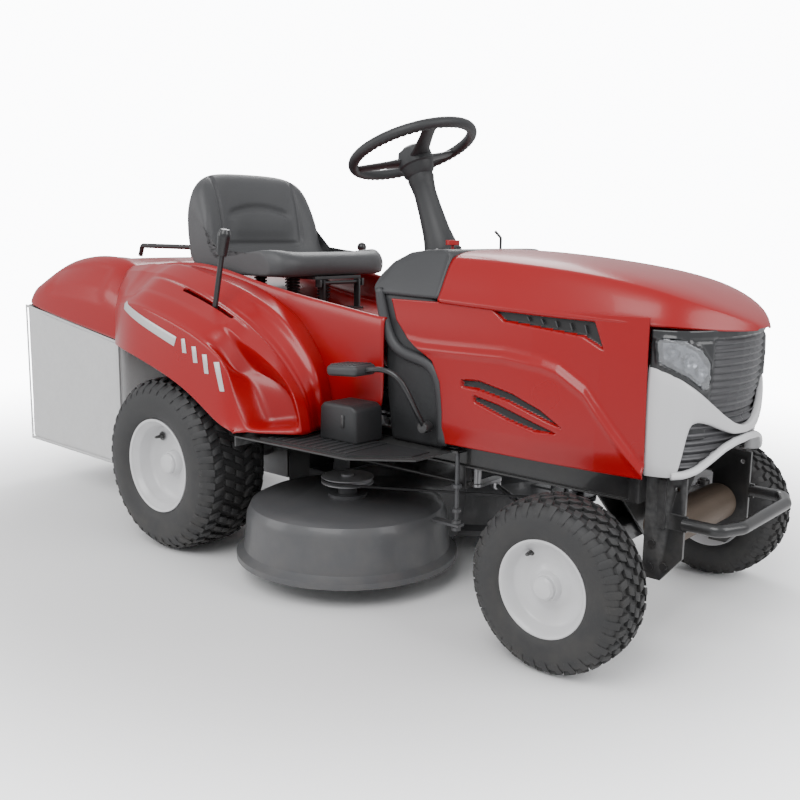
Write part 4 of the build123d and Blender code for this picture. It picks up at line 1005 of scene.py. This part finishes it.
def makeConsole():
    pedestal = rounded(slab(console["pedestal"], -console["half"], console["half"]), 14, 3)
    piece("dashPedestal", pedestal, "darkPlastic", "chassis", ["dash_console"], angle=40)
    cap = slab(console["cap"], -console["capHalf"], console["capHalf"])
    for vertex in cap.verts:
        height = vertex.co.z / mm
        vertex.co.y *= along([(690, 1.0), (715, 0.99), (775, 0.87), (806, 0.76)], height)
    piece("dashCap", rounded(cap, 16, 4), "capPlastic", "chassis", angle=40)
    for side, hand in ((right, "Right"), (left, "Left")):
        rows = []
        points = console["moulding"]
        for index, (x, z) in enumerate(points):
            ahead, behind = points[min(index + 1, len(points) - 1)], points[max(index - 1, 0)]
            run = Vector((ahead[0] - behind[0], ahead[1] - behind[1])).normalized()
            across = Vector((-run.y, run.x))
            if across.x > 0:
                across = -across
            wide = 15 if index else 11
            rows.append([(x + across.x * wide * s, side * y, z + across.y * wide * s)
                         for s, y in ((-1, 232), (-0.9, 240), (-0.5, 245), (0, 246.5), (0.5, 245),
                                      (0.9, 240), (1, 232))])
        moulding = refined(cage(rows, crease=0.3), 2)
        faceOut(moulding, (0, side, 0))
        piece("dashMoulding" + hand, moulding, "capPlastic", "chassis", angle=60, wall=4)
    box = rounded(slab(console["pedalBox"], -346, -250), 7, 3)
    piece("pedalBox", box, "darkPlastic", "chassis", angle=40)
    latch = rounded(slab(console["latch"], -349.5, -344), 2, 2)
    piece("pedalBoxLatch", latch, "blackSteel", "chassis", angle=40)
    lock = turned(console["lock"], at(*console["lockAt"]), axis=(-0.35, -0.2, 0.9), radial=(1, 0, 0.39),
                  steps=40)
    piece("ignitionLock", lock, "blackSteel", "chassis")


column = {
    "tilt": 22,
    "top": (445, 1048),
    "foot": 786,
    "profile": [(0, 0), (0, 52), (4, 52), (12, 46), (60, 37), (120, 32), (165, 30), (190, 33), (204, 36),
                (212, 34), (212, 0)],
    "flat": 0.88,
}


def columnPoint(z):   # where the steering column passes a height
    topX, topZ = column["top"]
    return (topX + (topZ - z) * math.tan(math.radians(column["tilt"])), 0, z)


def makeColumn():
    axis = (at(*columnPoint(column["top"][1])) - at(*columnPoint(700))).normalized()
    radial = Vector((0, 1, 0))
    base = at(*columnPoint(column["foot"]))
    tube = turned(column["profile"], base, axis=axis, radial=radial, steps=64)
    for vertex in tube.verts:   # narrower than it is deep
        vertex.co.y *= column["flat"]
    piece("columnCover", tube, "darkPlastic", "chassis", ["column_cover"], angle=30)


wheelRing = {
    "centre": (445, 0, 1048), "radius": 157, "tube": 13.2, "waves": 60, "spokes": (90, 210, 330),
    # out, half width, half thickness, drop
    "spoke": ((20, 27, 12, 26), (55, 24, 9, 20), (95, 20, 7.5, 11), (130, 19, 7, 4), (156, 22, 8, 0)),
    "hub": [(-30, 0), (-30, 30), (-22, 37), (-2, 40), (2, 44), (30, 41), (42, 37), (47, 28), (49, 0)],
    "hubDrop": 42,
}


def makeSteeringWheel():
    tilt = math.radians(column["tilt"])
    centre = at(*wheelRing["centre"])
    axis = Vector((-math.sin(tilt), 0, math.cos(tilt)))
    ahead = Vector((math.cos(tilt), 0, math.sin(tilt)))
    ring = bmesh.new()
    side = Vector((0, 1, 0))
    rim = bmesh.ops.create_circle(ring, cap_ends=False, segments=24, radius=wheelRing["tube"] * mm)["verts"]
    for vertex in rim:
        x, y = vertex.co.x, vertex.co.y
        vertex.co = centre + side * (wheelRing["radius"] * mm + x) + axis * y * 1.06
    bmesh.ops.spin(ring, geom=rim + list(ring.edges), cent=centre, axis=axis, angle=math.tau, steps=120,
                   use_merge=True)
    bmesh.ops.remove_doubles(ring, verts=ring.verts, dist=0.00002)
    bmesh.ops.recalc_face_normals(ring, faces=ring.faces)
    for vertex in ring.verts:   # finger waves on the underside
        arm = vertex.co - centre
        depth = arm.dot(axis)
        turn = math.atan2(arm.dot(side), arm.dot(ahead))
        if depth < 0:
            vertex.co -= axis * depth * 0.16 * (0.5 + 0.5 * math.cos(turn * wheelRing["waves"]))
    piece("steeringRing", ring, "darkPlastic", "steering_wheel", ["steering_wheel"], angle=60)
    parts = []
    for angle in wheelRing["spokes"]:
        turn = math.radians(angle)
        out = ahead * math.cos(turn) + side * math.sin(turn)
        across = axis.cross(out)
        rows = []
        for reach, wide, thick, drop in wheelRing["spoke"]:
            middle = centre + out * reach * mm - axis * drop * mm
            row = [middle + (across * wide * c + axis * thick * s) * mm
                   for c, s in ((1, 0), (0.8, 0.8), (0, 1), (-0.8, 0.8), (-1, 0), (-0.8, -0.8), (0, -1),
                                (0.8, -0.8), (1, 0))]
            rows.append([((p.x - axleX) / mm, p.y / mm, p.z / mm) for p in row])
        spoke = refined(cage(rows), 1)
        bmesh.ops.remove_doubles(spoke, verts=spoke.verts, dist=0.0001)
        bmesh.ops.recalc_face_normals(spoke, faces=spoke.faces)
        parts.append(spoke)
    hubAt = centre - axis * wheelRing["hubDrop"] * mm
    hub = turned(wheelRing["hub"], hubAt, axis=axis, radial=side, steps=56)
    for vertex in hub.verts:
        arm = vertex.co - hubAt
        vertex.co += ahead * arm.dot(ahead) * 0.12 - side * arm.dot(side) * 0.06
    parts.append(hub)
    piece("steeringSpokes", joined(parts), "darkPlastic", "steering_wheel", angle=35)
    badge = turned([(0, 0), (0, 25), (1.6, 24), (2.2, 20), (2.2, 0)], hubAt + axis * 48 * mm, axis=axis,
                   radial=side, steps=48)
    piece("steeringCap", badge, "capPlastic", "steering_wheel", angle=35)


makeConsole()
makeColumn()
makeSteeringWheel()
print("dash and steering made")


# ---- wheels: carcass, tread blocks, rim, hub cap and valve
wheels = {
    "rear": {"tyre": "rear_tyre_", "rim": "rear_rim_", "body": "rear_wheel_", "pitches": 40, "lug": 9,
             "carcass": [(0, 221), (30, 220.5), (60, 219), (84, 214), (95, 205), (102, 190), (105.5, 170),
                         (104.5, 150), (99, 134), (93, 126), (88, 121), (84, 119)],
             "rings": (131, 138),
             "face": [(84, 117), (90, 124), (94, 124), (95, 121.5), (93, 117), (84, 113.5), (78, 106),
                      (72, 104.5), (46, 103), (40, 99), (36, 92), (33, 80), (31, 50), (34, 42), (36, 34),
                      (52, 31), (54, 29), (54, 27)],
             "cap": [(46, 27.5), (60, 27), (64, 24), (66, 16), (67, 0)], "valve": (81, 60)},
    "front": {"tyre": "front_tyre_", "rim": "front_rim_", "body": "front_wheel_", "pitches": 34, "lug": 8,
              "carcass": [(0, 167), (18, 166.5), (36, 165), (51, 160), (58, 152), (62.5, 140), (64.5, 126),
                          (63, 112), (59, 102), (55, 97), (52, 95), (50, 94)],
              "rings": (103, 108),
              "face": [(48, 92), (53, 98), (56, 98), (57, 95.5), (55, 91), (49, 88), (44, 84), (32, 81),
                       (28, 77), (25, 68), (21, 56), (22, 44), (27, 36), (29, 30), (40, 27), (42, 25),
                       (42, 23)],
              "cap": [(36, 23.5), (49, 23), (53, 19), (55, 10), (55.5, 0)], "valve": (72, 34)},
}


def makeTyre(kind, hand, centre):
    sizes = wheels[kind]
    outer = sizes["carcass"]
    full = outer[0][1] + sizes["lug"]
    reach = outer[6][0]

    def crown(across):
        return along([(a, r) for a, r in outer[:6]], abs(across))

    profile = []
    for a, r in outer:
        profile.append((a, r))
        if sizes["rings"][0] - 5 < r < sizes["rings"][1] + 14 and r < 160:
            profile[-1] = (a + 0.6, r)
    inner = [(84 * reach / 105.5, outer[-1][1] + 6), (70 * reach / 105.5, outer[-1][1] + 10),
             (0, outer[-1][1] + 14)]
    half = profile + inner[:2]
    otherSide, otherInner = ([(-a, r) for a, r in reversed(part)] for part in (profile[1:], inner[:2]))
    chain = otherSide + half + [(0, inner[2][1])] + otherInner
    chain.append(chain[0])
    body = turned(chain, centre, steps=120)
    lugs = bmesh.new()
    pitch = math.tau / sizes["pitches"]
    unit = full * pitch
    rowsOfLugs = [(0.0, 0.13, 0.52, 24, 0.0), (0.34, 0.13, 0.50, -24, 0.5), (-0.34, 0.13, 0.50, 24, 0.5),
                  (0.66, 0.12, 0.46, 20, 0.0), (-0.66, 0.12, 0.46, -20, 0.0), (0.93, 0.13, 0.5, -8, 0.5),
                  (-0.93, 0.13, 0.5, 8, 0.5)]
    for where, halfWide, share, skew, shift in rowsOfLugs:
        made = bmesh.ops.create_cube(lugs, size=1.0)["verts"]
        edges = list({e for v in made for e in v.link_edges})
        result = bmesh.ops.bevel(lugs, geom=edges, offset=0.1, offset_type="OFFSET", segments=1, profile=0.5,
                                 affect="EDGES", material=-1)
        made = list({v for f in result["faces"] for v in f.verts} | {v for v in made if v.is_valid})
        turn = math.tan(math.radians(skew))
        for vertex in made:
            a = where * reach * 0.9 + vertex.co.x * 2 * halfWide * reach
            s = vertex.co.y * share * unit + (a - where * reach * 0.9) * turn + shift * unit
            rise = sizes["lug"] * (vertex.co.z + 0.5) - 2.5 * (0.5 - vertex.co.z)
            radius = crown(a) + rise * (0.75 if abs(where) > 0.9 else 1.0)
            radius = min(radius, full)
            a = max(min(a, reach * 0.985), -reach * 0.985)
            angle = s / full
            vertex.co = centre + Vector((math.sin(angle) * radius, a, math.cos(angle) * radius)) * mm
    bmesh.ops.recalc_face_normals(lugs, faces=lugs.faces)
    bmesh.ops.spin(lugs, geom=lugs.verts[:] + lugs.edges[:] + lugs.faces[:], cent=centre, axis=(0, 1, 0),
                   angle=math.tau * (sizes["pitches"] - 1) / sizes["pitches"], steps=sizes["pitches"] - 1,
                   use_duplicate=True)
    bmesh.ops.recalc_face_normals(lugs, faces=lugs.faces)
    name = kind + "Tyre" + hand
    piece(name, joined([body, lugs]), "tyreRubber", sizes["body"] + hand.lower(),
          [sizes["tyre"] + hand.lower()], angle=34)


def makeRim(kind, side, hand, centre):
    sizes = wheels[kind]
    body = sizes["body"] + hand.lower()
    face = sizes["face"]
    lip = face[1][0]
    back = [(face[0][0] - 10, face[0][1] - 6), (10, face[8][1] - 2), (-lip + 14, face[0][1] - 8),
            (-lip, face[1][1]), (-lip - 2, face[1][1] - 3), (-lip + 12, face[0][1] - 12),
            (6, face[8][1] - 6), (face[11][0] - 8, face[11][1]), (face[-1][0] - 30, face[-1][1] + 3),
            (face[-1][0] - 30, face[-1][1])]
    chain = [(side * a, r) for a, r in face] + [(side * a, r) for a, r in reversed(back)]
    chain.append(chain[0])
    piece(kind + "Rim" + hand, turned(chain, centre, steps=96), "rimPaint", body,
          [sizes["rim"] + hand.lower()], angle=40, bevel=0.8)
    cap = turned([(side * a, r) for a, r in [(sizes["cap"][0][0], 0)] + sizes["cap"]], centre, steps=48)
    piece(kind + "HubCap" + hand, cap, "rimPaint", body, angle=32)
    radius, depth = sizes["valve"]
    angle = math.radians(-38)
    out = Vector((math.sin(angle), 0, math.cos(angle)))
    sunk = 22 if kind == "rear" else 14
    foot = centre + (out * radius + Vector((0, side * (depth - sunk), 0))) * mm
    outward = (0.05, side, 0)
    stem = turned([(-2, 0), (-2, 7), (5, 7), (8, 4.5), (20, 4), (21, 3), (24, 3), (24, 0)], foot,
                  axis=outward, radial=(0, 0, 1), steps=24)
    ring = turned([(0, 8), (0, 12), (2.2, 11), (2.2, 8.6), (0, 8)], foot, axis=outward, radial=(0, 0, 1),
                  steps=32)
    piece(kind + "Valve" + hand, joined([stem, ring]), "blackSteel", body, angle=35)


def makeWheels():
    for kind in wheels:
        for side, hand in ((right, "Right"), (left, "Left")):
            low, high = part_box(wheels[kind]["tyre"] + hand.lower())
            centre = (low + high) / 2
            makeTyre(kind, hand, centre)
            makeRim(kind, side, hand, centre)


makeWheels()
print("wheels made")


# ---- seat: one moulded shell with a cushion, side wings and a lumbar pad
seat = {
    "half": 219,
    "relief": {"fold": 7.0, "backSeam": 4.5, "tuck": 4.5, "swell": 5, "cushionSeam": 4, "ridge": 2.4},
    "loop": [   # side outline in the middle of the seat, from under the front edge round to the underside
        (168, 717), (184, 724), (190, 750), (182, 773), (158, 785), (110, 782), (40, 773), (-30, 762),
        (-85, 757), (-118, 762), (-132, 784), (-141, 820), (-146, 870), (-156, 920), (-170, 965),
        (-184, 993), (-202, 1007), (-222, 998), (-231, 968), (-232, 900), (-231, 830), (-229, 775),
        (-220, 742), (-196, 724), (-150, 719), (-60, 718), (60, 718)],
    "stations": [-219, -215, -203, -184, -160, -132, -95, -50, 0, 50, 95, 132, 160, 184, 203, 215, 219],
}


def makeSeat():
    rows = []
    half = seat["half"]
    for y in seat["stations"]:
        share = abs(y) / half
        row = []
        for index, (x, z) in enumerate(seat["loop"]):
            height = between(z, 770, 1000)
            roundTop = 92 * (1 - math.sqrt(max(0.0, 1 - max(0.0,
                                                            (share - 0.35) / 0.65) ** 3.4))) + 10 * share ** 2
            low = 718 + (z - 718) * (1 - height * roundTop / 290)
            wing = between(share, 0.55, 0.9)
            front = 0
            if 9 <= index <= 16:
                front = 26 * wing * (1 - height * 0.4)          # wings come forward beside the back
            if 4 <= index <= 8:
                low += 7 * wing                                  # cushion bolsters
            if index <= 4:
                front -= 26 * between(share, 0.6, 1.0) ** 2      # rounded front corners
            if 17 <= index <= 23:
                front += 18 * between(share, 0.72, 1.0)
            shrink = between(share, 0.955, 1.0)
            middle = Vector((along([(718, 0), (760, -60), (800, -188), (1010, -200)], low), low))
            x2, z2 = x + front, low
            if shrink:
                drop = z2 + (752 - z2) * 0.10 if z2 < 800 else z2 - 6
                toward = Vector((x2, z2)).lerp(Vector((x2 + (middle.x - x2) * 0.12, drop)), shrink)
                x2, z2 = toward
            row.append((x2, y, z2))
        rows.append(row + [row[0]])
    bm = refined(joinLoop(cage(rows)), 3)
    shapeSeat(bm)
    thing = piece("seatShell", bm, "seatVinyl", "seat", ["seat"], angle=70)


def joinLoop(bm):   # closes the outline of every station and fills the two ends
    bmesh.ops.remove_doubles(bm, verts=bm.verts, dist=0.0001)
    ends = [e for e in bm.edges if e.is_boundary]
    bmesh.ops.holes_fill(bm, edges=ends, sides=0)
    for face in [f for f in bm.faces if len(f.verts) > 4]:
        bmesh.ops.inset_individual(bm, faces=[face], thickness=0.012, depth=0.0)
    bmesh.ops.recalc_face_normals(bm, faces=bm.faces)
    return bm


def shapeSeat(bm):   # creases of the lumbar pad and the wing seams
    relief = seat["relief"]
    bm.normal_update()
    for vertex in bm.verts:
        x, y, z = (vertex.co.x - axleX) / mm, vertex.co.y / mm, vertex.co.z / mm
        facing = vertex.normal
        if facing.x > 0.3 and z > 775:        # front of the back rest
            crest = 905 - 24 * (abs(y) / 120) ** 2
            fold = relief["fold"] * (1 - between(abs(z - crest), 3, 16)) * (1 - between(abs(y), 95, 130))
            seam = relief["backSeam"] * (1 - between(abs(abs(y) - 150), 2, 10)) * between(z, 790, 820)
            tuck = relief["tuck"] * (1 - between(abs(z - 800), 2, 11)) * (1 - between(abs(y), 120, 150))
            swell = relief["swell"] * between(z, 806, 845) * (1 - between(z, 860, 900))
            swell *= 1 - between(abs(y), 80, 130)
            vertex.co += facing * (swell - fold - seam - tuck) * mm
        if facing.z > 0.5 and z < 800:        # top of the cushion
            seam = relief["cushionSeam"] * (1 - between(abs(abs(y) - 158), 2, 10))
            seam *= between(x, -110, -80) * (1 - between(x, 140, 175))
            ridge = relief["ridge"] * (1 - between(abs(x - 60), 2, 10)) * (1 - between(abs(y), 135, 150))
            vertex.co -= facing * (seam + ridge) * mm


makeSeat()


# ---- grass bag: sagging cloth sides on a frame, with a moulded lid
bag = {
    "half": 328,
    "corners": [(-413, 124), (-413, 508), (-950, 588), (-958, 132)],   # side outline, front foot first
    "hem": 9,
    "sag": 11, "fold": 3.2,   # sides drawn in between the tubes, and the depth of their folds
    "endSag": 12, "endFold": 3.0,
    "floor": 121,
}


def bagSide(s, t):   # point of the side outline, s from front to rear and t from foot to lid
    (x0, z0), (x1, z1), (x2, z2), (x3, z3) = bag["corners"]
    x = (x0 + (x3 - x0) * s) * (1 - t) + (x1 + (x2 - x1) * s) * t
    z = (z0 + (z3 - z0) * s) * (1 - t) + (z1 + (z2 - z1) * s) * t
    return x, z


def ripple(a, b, seed):   # soft folds of hanging cloth
    return (math.sin(7.1 * a + 3.3 * b + seed) + 0.6 * math.sin(13.7 * a - 5.1 * b + 2.1 * seed)
            + 0.4 * math.sin(23.0 * a * b + 4.2 * seed) + 0.35 * math.sin(31 * b + 9 * a + seed))


def makeBag():
    bm = bmesh.new()
    bmesh.ops.create_cube(bm, size=1.0)
    bmesh.ops.delete(bm, geom=[f for f in bm.faces if f.normal.z > 0.5], context="FACES_ONLY")
    upright = [e for e in bm.edges if abs(e.verts[0].co.z - e.verts[1].co.z) > 0.5]
    foot = [e for e in bm.edges if e.verts[0].co.z < 0 and e.verts[1].co.z < 0]
    bmesh.ops.bevel(bm, geom=upright + foot, offset=0.035, offset_type="OFFSET", segments=3, profile=0.5,
                    affect="EDGES", material=-1)
    bmesh.ops.subdivide_edges(bm, edges=[e for e in bm.edges if e.calc_length() > 0.3], cuts=46,
                              use_grid_fill=True)
    bm.normal_update()
    for vertex in bm.verts:
        a, b, c = vertex.co.x + 0.5, vertex.co.y + 0.5, vertex.co.z + 0.5
        x, z = bagSide(1 - a, c)
        y = (b - 0.5) * 2 * bag["half"]
        face = vertex.normal
        swell = math.sin(math.pi * min(max(a, 0), 1)) * math.sin(math.pi * min(max(c, 0), 1))
        slack = math.sin(math.pi * min(max(b, 0), 1)) * math.sin(math.pi * min(max(c, 0), 1))
        if abs(face.y) > 0.7:
            y += math.copysign(1, face.y) * (-bag["sag"] * swell + bag["fold"]
                                             * ripple(a * 1.3, c * 0.7,
                                                      1.7 * face.y) * (0.25 + swell) * (0.4 + 0.6 * c))
        elif abs(face.x) > 0.7:
            x += math.copysign(1, face.x) * (-bag["endSag"] * slack + bag["endFold"]
                                             * ripple(b * 1.3, c, 0.9) * (0.2 + slack))
        elif face.z < -0.7:
            z += 9 - 14 * math.sin(math.pi * b) * math.sin(math.pi * a) + 2.0 * ripple(a * 2, b * 2, 0.4)
            z = max(z, bag["floor"])
        vertex.co = at(x, y, z)
    thing = piece("bagCloth", bm, "bagCloth", "grass_bag", ["bag_cloth"], angle=80, wall=1.6)
    parts = []
    for y in (-bag["half"], bag["half"]):   # sewn tapes along the seams
        sign = 1 if y > 0 else -1
        for line in (((-413, 508), (-950, 588)), ((-413, 126), (-958, 134)), ((-415, 126), (-415, 506)),
                     ((-953, 586), (-957, 136))):
            (xa, za), (xb, zb) = line
            count = 24
            rows = []
            for k in range(count + 1):
                x, z = xa + (xb - xa) * k / count, za + (zb - za) * k / count
                flatwise = abs(xb - xa) > abs(zb - za)
                inward = 1 if za < 300 else -1
                hem = bag["hem"]
                du, dz = (0, hem * inward) if flatwise else ((-hem if xa > -600 else hem), 0)
                rows.append([(x, y + sign * 1.2, z), (x + du * 0.5, y + sign * 2.0, z + dz * 0.5),
                             (x + du, y + sign * 0.6, z + dz)])
            tape = cage(rows)
            faceOut(tape, (0, sign, 0))
            parts.append(tape)
    piece("bagTapes", joined(parts), "bagCloth", "grass_bag", angle=60, wall=1.2)


lid = {
    "ribDepth": 6, "hollowDepth": 4,
    "stations": [   # place along, half width, edge height, shoulder height, top height
        (-404, 332, 511, 640, 724), (-440, 334, 517, 652, 742), (-500, 335, 526, 668, 757),
        (-600, 336, 541, 676, 762), (-700, 336, 555, 674, 752), (-790, 335, 569, 668, 733),
        (-860, 332, 579, 655, 704), (-915, 326, 587, 638, 664), (-944, 316, 592, 618, 634),
        (-952, 300, 594, 602, 606)],
}


def makeLid():
    rows = []
    for x, half, edge, shoulder, top in lid["stations"]:
        side = [(x, -half + 5, edge - 1), (x, -half, edge), (x, -half, edge + 0.25 * (shoulder - edge)),
                (x, -half + 2, shoulder - 18), (x, -half + 16, shoulder + 4),
                (x, -half + 44, shoulder + 0.58 * (top - shoulder)), (x, -half + 72, top - 8),
                (x, -half + 92, top - 2), (x, -half + 112, top - 9), (x, -half + 190, top - 7),
                (x, -60, top - 6), (x, 0, top - 6)]
        rows.append(side + [(px, -py, pz) for px, py, pz in reversed(side[:-1])])
    bm = refined(cage(rows, creasedColumns=(4, 18), crease=0.35), 3)
    u, v = bm.verts.layers.float["u"], bm.verts.layers.float["v"]
    faceOut(bm, (0, 0, 1))
    bm.normal_update()
    for vertex in bm.verts:
        across, down = vertex[u], vertex[v]
        inside = min(across, 22 - across)
        rib = between(down, 1.3, 1.8) * (1 - between(down, 6.2, 6.9))
        press = rib * between(inside, 8.2, 8.7) * lid["ribDepth"]
        hollow = between(down, 1.6, 2.2) * (1 - between(down, 4.8, 5.6)) * lid["hollowDepth"]
        hollow *= between(inside, 2.6, 3.0) * (1 - between(inside, 5.0, 5.5))
        vertex.co -= vertex.normal * (press + hollow) * mm
    piece("bagLid", bm, "redBody", "grass_bag", ["bag_lid"], angle=50, wall=4)


makeBag()
makeLid()
print("seat and bag made")


# ---- footboards with ribbed mats, pedals
mat = {"ribs": 11, "first": 372, "step": 24, "ribWidth": 9}


def makeMats():
    for side, hand in ((right, "Right"), (left, "Left")):
        sheet = slab([(356, side * 276), (640, side * 276), (742, side * 276), (742, side * 336),
                      (632, side * 430), (356, side * 444)],
                   349.2, 352.2, flat="plan")
        parts = [sheet]
        for index in range(mat["ribs"]):
            x = mat["first"] + index * mat["step"]
            reach = along([(356, 438), (632, 424), (742, 330)], x) - 4
            end = x + mat["ribWidth"]
            rib = slab([(x, side * 284), (end, side * 284), (end, side * reach), (x, side * reach)], 352,
                       354.4, flat="plan")
            parts.append(rounded(rib, 1.0, 2, 60))
        piece("footMat" + hand, joined(parts), "darkPlastic", "chassis", angle=30)


pedal = {"pad": (540, 322, 524), "size": (96, 76, 26), "tilt": -4, "ribs": 7, "ribStep": 12,
         "arm": [(578, 322, 524), (604, 320, 532), (648, 314, 536), (684, 304, 510), (704, 290, 456),
                 (712, 268, 414), (712, 258, 402)]}


def makePedals():
    for side, hand in ((right, "Right"), (left, "Left")):
        body = "pedal_" + hand.lower()
        x, y, z = pedal["pad"]
        long, wide, thick = pedal["size"]
        pad = bmesh.new()
        bmesh.ops.create_cube(pad, size=1.0)
        bmesh.ops.scale(pad, vec=(long * mm, wide * mm, thick * mm), verts=pad.verts)
        rounded(pad, 10, 4)
        ribs = [pad]
        for index in range(pedal["ribs"]):
            rib = bmesh.new()
            bmesh.ops.create_cube(rib, size=1.0)
            bmesh.ops.scale(rib, vec=(5 * mm, (wide - 16) * mm, 3.4 * mm), verts=rib.verts)
            rounded(rib, 1.1, 2)
            bmesh.ops.translate(rib, vec=((-36 + pedal["ribStep"] * index) * mm, 0, (thick / 2 + 0.6) * mm),
                                verts=rib.verts)
            ribs.append(rib)
        whole = joined(ribs)
        bmesh.ops.rotate(whole, cent=(0, 0, 0), matrix=Matrix.Rotation(math.radians(pedal["tilt"]), 3, "Y"),
                         verts=whole.verts)
        bmesh.ops.translate(whole, vec=at(x, side * y, z), verts=whole.verts)
        piece("pedalPad" + hand, whole, "capPlastic", body, ["pedal_" + hand.lower()],
              angle=40)
        bar("pedalArm" + hand, [(px, side * py, pz) for px, py, pz in pedal["arm"]], 6.5, "blackSteel",
            body, order=4)
        boss = turned([(-12, 0), (-12, 13), (-10, 14), (10, 14), (12, 13), (12, 0)],
                      at(712, side * 256, 402), steps=32)
        piece("pedalBoss" + hand, boss, "blackSteel", body, angle=35)


makeMats()
makePedals()
print("controls made")


# ---- the CAD nodes that keep their shape: edges softened, finish from the table below
carried = {
    "deck_shell": ("deckPaint", 1.6), "discharge_chute": ("darkPlastic", 1.2),
    "frame_rail_left": ("blackSteel", 1.0),
    "frame_rail_right": ("blackSteel", 1.0), "frame_cross_members": ("blackSteel", 0.8),
    "front_axle_beam": ("blackSteel", 1.2),
    "front_bracket_left": ("blackSteel", 0.8), "front_bracket_right": ("blackSteel", 0.8),
    "front_bumper": ("blackSteel", 0.6),
    "hitch_plate": ("blackSteel", 0.6), "footboard_left": ("blackSteel", 0.8),
    "footboard_right": ("blackSteel", 0.8),
    "engine_block": ("castAlloy", 1.2), "engine_shroud": ("darkPlastic", 1.2), "muffler": ("burntSteel", 1.0),
    "transaxle": ("castAlloy", 1.2), "fuel_tank_and_battery": ("darkPlastic", 2.0),
    "seat_bracket": ("blackSteel", 0.6),
    "seat_pan": ("blackSteel", 0.5), "bag_frame": ("blackSteel", 0.4), "lift_lever": ("blackSteel", 0.8),
    "lift_link": ("blackSteel", 0.5), "parking_brake_lever": ("blackSteel", 0.8),
    "throttle_lever": ("blackSteel", 0.6),
    "blade_switch_knob": ("redKnob", 1.2), "spindle_left": ("pulleyPaint", 0.5),
    "spindle_right": ("pulleyPaint", 0.5),
    "blade_left": ("bareSteel", 0.4), "blade_right": ("bareSteel", 0.4), "crankshaft": ("bareSteel", 0.5),
    "drive_pulley": ("pulleyPaint", 0.5), "blade_belt": ("beltRubber", 0), "drive_belt": ("beltRubber", 0),
    "drag_link": ("bareSteel", 0.3), "tie_rod": ("bareSteel", 0.3), "steering_arm": ("bareSteel", 0.6),
    "steering_gearbox": ("castAlloy", 1.0), "steering_shaft": ("bareSteel", 0.4),
    "steering_knuckle_left": ("blackSteel", 0.8), "steering_knuckle_right": ("blackSteel", 0.8),
}


leverCut = {"above": 640, "lean": 0.22, "share": 0.13}


def carryOver():
    for node, (look, soft) in carried.items():
        source = frame["nodes"][node]
        bm = bmesh.new()
        bm.from_mesh(source.data)
        bmesh.ops.remove_doubles(bm, verts=bm.verts, dist=0.00001)
        bmesh.ops.dissolve_limit(bm, angle_limit=math.radians(0.6), use_dissolve_boundaries=False,
                                 verts=bm.verts, edges=bm.edges)
        body = source["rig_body"]
        if node == "lift_lever":   # drawn down along its own length
            for vertex in bm.verts:
                over = vertex.co.z - leverCut["above"] * mm
                if over > 0:
                    vertex.co -= Vector((leverCut["lean"], 0, 1)) * over * leverCut["share"]
        piece("trim_" + node, bm, look, body, [node],
              angle=32, bevel=soft)


carryOver()
print("carried-over parts dressed")
